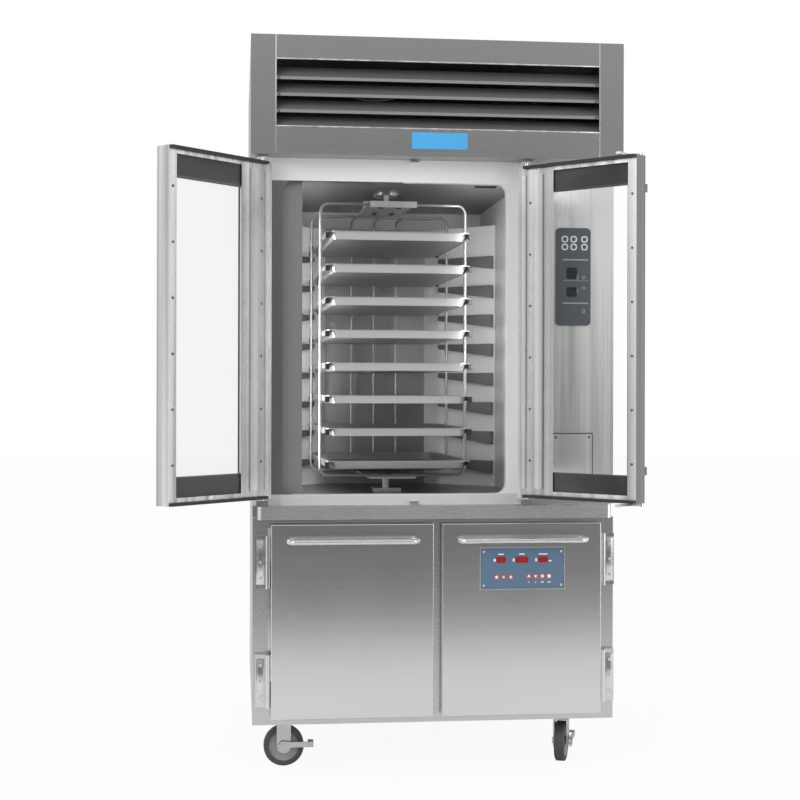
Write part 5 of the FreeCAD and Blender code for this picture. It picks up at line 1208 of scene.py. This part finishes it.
@dataclass
class HingeTrim(Trim):
    """Cover straps and screws on the fixed halves of the proofer hinges, and the jamb strips behind them."""

    middles: Pair = (-0.5365, 0.5435)
    front: float = -0.568
    lows: Pair = (0.209, 0.569)
    height: float = 0.160
    half: float = 0.0125
    strap_end: float = 0.012
    strap: float = 0.002
    rim: float = 0.004
    raised: float = 0.0015
    edge: float = 0.0006
    head: Pair = (0.0050, 0.0024)
    screw_shares: Place = (0.2, 0.5, 0.8)
    jambs: tuple[Pair, ...] = ((-0.5195, -0.4885), (0.4955, 0.5195))
    jamb_span: Pair = (0.1905, 0.7515)
    jamb_face: float = -0.5495
    jamb: float = 0.002
    jamb_fold: Pair = (0.005, 0.004)
    jamb_edge: float = 0.0005

    def build(self) -> None:
        """Make the straps, screws and jamb strips."""
        face = self.front - self.strap
        halves = [(middle, low) for middle in self.middles for low in self.lows]
        straps = [((middle - self.half, face, low + self.strap_end),
                   (middle + self.half, self.front, low + self.height - self.strap_end))
                  for middle, low in halves]
        self.blocks("hinge_straps", "cabinet", "bright_steel", "polished_stainless", straps, self.edge,
                    (FRONT, self.rim, self.raised))
        spots = [facing((middle, face - self.raised, low + share * self.height), FRONT)
                 for middle, low in halves for share in self.screw_shares]
        self.screws("hinge_screws", "cabinet", spots, "bright_steel", *self.head)
        low, high = self.jamb_span
        strips = [((left, self.jamb_face, low), (right, self.jamb_face + self.jamb, high))
                  for left, right in self.jambs]
        self.blocks("jamb_strips", "cabinet", "sheet_across", "brushed_stainless", strips, self.jamb_edge,
                    (BACK, *self.jamb_fold))


@dataclass
class Cover(Trim):
    """Pressed cover plate on the back, with a raised field and screws round its edge."""

    name: str
    low: Pair
    high: Pair
    face: float
    thick: float = 0.0015
    raised: float = 0.003
    slope: float = 0.006
    pitch: float = 0.16
    edge: float = 0.012
    bevel: float = 0.0005

    def build(self) -> None:
        """Make the plate and its screws."""
        front = self.face + self.thick
        plate = Bench.block(self.name, (self.low[0], self.face, self.low[1]),
                            (self.high[0], front, self.high[1]))
        Bench.edit(plate, lambda face: face.normal.y > STRAIGHT,
                   lambda: bpy.ops.mesh.inset(thickness=2.0 * self.edge),
                   lambda: bpy.ops.mesh.inset(thickness=self.slope),
                   lambda: bpy.ops.transform.translate(value=(0.0, self.raised, 0.0)))
        Bench.bevel(plate, self.bevel)
        self.fit(plate, "cabinet", "sheet_across", "brushed_stainless")
        spots = []
        for axis, skip in ((0, 0), (1, 1)):
            run = self.high[axis] - self.low[axis] - 2.0 * self.edge
            count = max(1, round(run / self.pitch))
            for index in range(skip, count + 1 - skip):
                along = self.low[axis] + self.edge + run / count * index
                for across in (self.low[1 - axis] + self.edge, self.high[1 - axis] - self.edge):
                    x, z = (along, across) if axis == 0 else (across, along)
                    spots.append(facing((x, front, z), BACK))
        self.screws(f"{self.name}_screws", "cabinet", spots)


@dataclass
class RearTrim(Trim):
    """Service covers, pressed air slots and cable gland on the back."""

    back: float = 0.550
    covers: tuple[tuple[Any, ...], ...] = (("motor_cover", (-0.42, 1.00), (0.42, 1.72)),
                                           ("base_cover", (-0.42, 0.26), (0.42, 0.70)))
    slots: int = 9
    slot: Place = (0.18, 0.006, 0.010)
    slot_side: float = 0.18
    slot_pitch: float = 0.035
    slot_face: float = 0.5545
    slot_top: float = 1.50
    slot_lip: Pair = (0.0012, -0.006)
    gland: Pair = (0.49, 0.93)
    gland_nut: Pair = (0.018, 0.008)
    gland_collar: Pair = (0.004, 0.014)
    gland_bore: Pair = (0.005, -0.010)
    edge: float = 0.0008

    def build(self) -> None:
        """Make the covers, slots and gland."""
        for name, low, high in self.covers:
            Cover(self.finishes, name, low, high, self.back).build()
        wide, deep, tall = self.slot
        places = [(side * self.slot_side, self.slot_top - self.slot_pitch * row)
                  for side in (-1.0, 1.0) for row in range(self.slots)]
        slots = [((x - wide / 2, self.slot_face, z), (x + wide / 2, self.slot_face + deep, z + tall))
                 for x, z in places]
        self.blocks("air_slots", "cabinet", "sheet_across", "brushed_stainless", slots, self.edge,
                    (DOWN, *self.slot_lip))
        gland = Bench.round_bar("cable_gland", *self.gland_nut, HEXAGON)
        (step, rise), (wall, bore) = self.gland_collar, self.gland_bore
        Bench.edit(gland, lambda face: face.normal.z > STRAIGHT, lambda: bpy.ops.mesh.inset(thickness=step),
                   lambda: Bench.extrude(UP, rise), lambda: bpy.ops.mesh.inset(thickness=wall),
                   lambda: Bench.extrude(UP, bore))
        Bench.bevel(gland, self.edge)
        gland.data.transform(facing((self.gland[0], self.back, self.gland[1]), BACK))
        self.fit(gland, "cabinet", "rubber_black", "black_rubber")


@dataclass
class HangerTrim(Trim):
    """Bolt heads under the rack's hanger and rubber stops on the ends of its rails."""

    turn: float = math.radians(1.9)
    bolt: Pair = (0.009, 0.006)
    bolt_crown: Pair = (0.0015, 0.0008)
    bolt_at: Place = (0.030, 0.09, 1.7745)
    rail_top: float = 0.9468
    rail_x: Pair = (0.2188, 0.2320)
    rail_end: Pair = (0.3122, 0.3190)
    cap: Pair = (0.018, 0.0005)
    cap_crown: Pair = (0.003, 0.0015)
    cap_edge: float = 0.001

    def build(self) -> None:
        """Make the bolt heads and the stops."""
        where = RACK_AXIS @ Matrix.Rotation(self.turn, 4, "Z")
        head = Bench.round_bar("hanger_bolt", *self.bolt, HEXAGON)
        Bench.press(head, UP, *self.bolt_crown, False)
        across, deep, under = self.bolt_at
        spots = [where @ facing((x, y, under), DOWN) for x in (-across, across) for y in (-deep, deep)]
        self.fit(Bench.copies("hanger_bolts", head, spots), "rack", "black_board", "dark_board")
        caps = [self.rail_cap(side, end, self.rail_top + TRAY_PITCH * level)
                for level in range(TRAY_LEVELS) for side in (-1.0, 1.0) for end in (-1.0, 1.0)]
        piece = Bench.joined("rail_caps", caps)
        piece.data.transform(where)
        self.fit(piece, "rack", "rubber_black", "black_rubber")

    def rail_cap(self, side: float, end: float, top: float) -> Piece:
        """Rubber stop on one end of a rail.

        Args:
            side: left or right rail, as a sign.
            end: front or back end, as a sign.
            top: height of the rail's top.

        Returns:
            The stop, in the rack's own frame.
        """
        left, right = sorted(side * across for across in self.rail_x)
        near, far = sorted(end * deep for deep in self.rail_end)
        cap = Bench.block("rail_cap", (left, near, top - self.cap[0]), (right, far, top - self.cap[1]))
        Bench.press(cap, (0.0, end, 0.0), *self.cap_crown, False)
        Bench.bevel(cap, self.cap_edge)
        return cap


@dataclass
class CasterTrim(Trim):
    """Bolts of the caster plates and faces of the wheel hubs."""

    corner: Pair = (0.427, 0.435)
    bolt: Pair = (0.0065, 0.0045)
    bolt_crown: Pair = (0.001, 0.0006)
    bolt_off: float = 0.036
    under: float = 0.145
    hub_r: float = 0.0465

    def build(self) -> None:
        """Make the bolts and pick out the hubs."""
        wide, deep = self.corner
        spots = [facing((sx * wide + bx * self.bolt_off, sy * deep + by * self.bolt_off, self.under), DOWN)
                 for sx in (-1, 1) for sy in (-1, 1) for bx in (-1, 1) for by in (-1, 1)]
        bolt = Bench.round_bar("bolt_head", *self.bolt, HEXAGON)
        Bench.press(bolt, UP, *self.bolt_crown, False)
        self.fit(Bench.copies("caster_bolts", bolt, spots), "cabinet", "zinc_plate", "zinc_steel")
        for key in ("fl", "fr", "bl", "br"):
            wheel = bpy.data.objects[f"caster_{key}_wheel"]
            wheel.data.materials.append(self.finishes["hub_plastic"])
            roll = joint(f"roll_{key}")
            middle, axis = Vector(roll["pos_m"]), Vector(roll["axis"]).normalized()
            spots = [wheel.matrix_world @ vertex.co - middle for vertex in wheel.data.vertices]
            away = [(spot - spot.dot(axis) * axis).length for spot in spots]
            for face in wheel.data.polygons:
                face.material_index = 1 if max(away[index] for index in face.vertices) < self.hub_r else 0


@dataclass
class Zones(Trim):
    """Where parts of a CAD node have another finish than the rest of it."""

    bore: float = -0.01
    vent_depth: float = 0.028
    # corner of the left duct's front that is painted dark as shade
    shaded_duct_front: Pair = (-0.408, -0.440)
    duct_corner: float = 0.4135
    bay_wall: float = 0.012
    post_edge: float = 0.020
    deck_front: float = -0.4905
    door_reach: float = 0.395

    def build(self) -> None:
        """Give each zone its finish."""
        self.chamber()
        self.base()
        self.doors()

    def repaint(self, name: str, finish: str, chosen: Callable[[Vector, Vector], bool]) -> None:
        """Give some faces of a CAD node a finish of their own.

        Args:
            name: the node.
            finish: name of the finish.
            chosen: test on a face's centre and outward direction.
        """
        node = bpy.data.objects[name]
        node.data.materials.append(self.finishes[finish])
        slot = len(node.data.materials) - 1
        turn = node.matrix_world.to_3x3()
        for face in node.data.polygons:
            if chosen(node.matrix_world @ face.center, (turn @ face.normal).normalized()):
                face.material_index = slot

    def chamber(self) -> None:
        """Soot in flue and vent, smoked ceiling and floor, pale corner ducts, painted shade on the front of the
        left duct, lips of the louvre blades.
        """
        low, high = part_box("flue_spigot")
        middle = (Vector(low) + Vector(high)) / 2.0
        self.repaint("flue_spigot", "flue_soot", lambda spot, out: out.xy.dot((spot - middle).xy) < self.bore)
        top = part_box("chamber_liner")[1].z - self.vent_depth
        x, y = self.shaded_duct_front
        self.repaint("chamber_liner", "smoked_sheet", lambda spot, out: abs(out.z) > STRAIGHT)
        # painted shade: the front of the left duct, beside the open left door, gets the darker duct steel
        self.repaint("chamber_liner", "duct_sheet", lambda spot, out: spot.x < x and spot.y < y)
        self.repaint("chamber_liner", "flue_soot", lambda spot, out: spot.z > top)
        axis = RACK_AXIS.translation
        edge = self.duct_corner * math.sqrt(2.0)
        self.repaint("duct_panels", "chamber_sheet",
                     lambda spot, out: abs(spot.x - axis.x) + spot.y - axis.y > edge)
        # painted light on the front-facing lips of the blades; the slopes keep the dark blade_shade as painted
        # shade
        self.repaint("louvre_blades", "blade_lip", lambda spot, out: out.y < -STRAIGHT)

    def base(self) -> None:
        """Satin bays; post sides painted pale satin as painted light in the gaps beside the doors; the deck
        behind the ledge; steel facing of the door cores.
        """
        low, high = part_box("base_sheets")
        self.repaint("base_sheets", "chamber_sheet",
                     lambda spot, out: min(spot.x - low.x, high.x - spot.x, spot.z - low.z, high.z - spot.z,
                                           high.y - spot.y) > self.bay_wall)
        left, right = (corner.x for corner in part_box("base_chassis"))
        left, right = left + self.post_edge, right - self.post_edge
        # painted light: the inner sides of the posts get the pale satin chamber steel so the gaps beside the
        # base doors read lighter
        self.repaint("base_chassis", "chamber_sheet",
                     lambda spot, out: left < spot.x < right and abs(out.x) > STRAIGHT)
        self.repaint("drip_ledge", "sheet_deep", lambda spot, out: spot.y > self.deck_front)
        for name in ("base_left_door_core", "base_right_door_core"):
            self.repaint(name, "sheet_across", lambda spot, out: out.y > STRAIGHT)

    def doors(self) -> None:
        """Upright sides of the oven doors' windows, and the free edge of the right door painted dark as shade.
        """
        left, right = (Vector((hand, -1.0, 0.0)).normalized() for hand in (-1.0, 1.0))
        self.repaint("left_door_core", "sheet_upright", lambda spot, out: abs(out.dot(left)) > STRAIGHT)
        self.repaint("right_door_core", "sheet_upright", lambda spot, out: abs(out.dot(right)) > STRAIGHT)
        pivot = Vector(joint("right_door_hinge")["pos_m"])
        reach = pivot.dot(right) + self.door_reach
        # painted shade: the right door's free edge gets a dark copy of the stile steel
        self.repaint("right_door_shell", "shaded_edge_sheet",
                     lambda spot, out: spot.dot(right) > reach and out.dot(right) > STRAIGHT)


def main() -> None:
    """Build the scene piece by piece."""
    logging.basicConfig(level=logging.INFO, format="%(name)s %(message)s")
    finishes = Finishes()
    for name, nodes in NODE_FINISH.items():
        for node in nodes:
            finishes.dress(bpy.data.objects[node], name)
            LOG.info("%s: %s", node, name)
    Zones(finishes).build()
    OvenDoorTrim(finishes, Side.LEFT, "left_door_hinge", "left_door").build()
    OvenDoorTrim(finishes, Side.RIGHT, "right_door_hinge", "right_door").build()
    for trim in (OvenPanel, ProoferPanel, AirHoods, CoverShadowGap, CanopyTrim, HingeTrim, RearTrim, CasterTrim,
                 HangerTrim):
        trim(finishes).build()
    Studio().build()


if __name__ == "__main__":
    main()
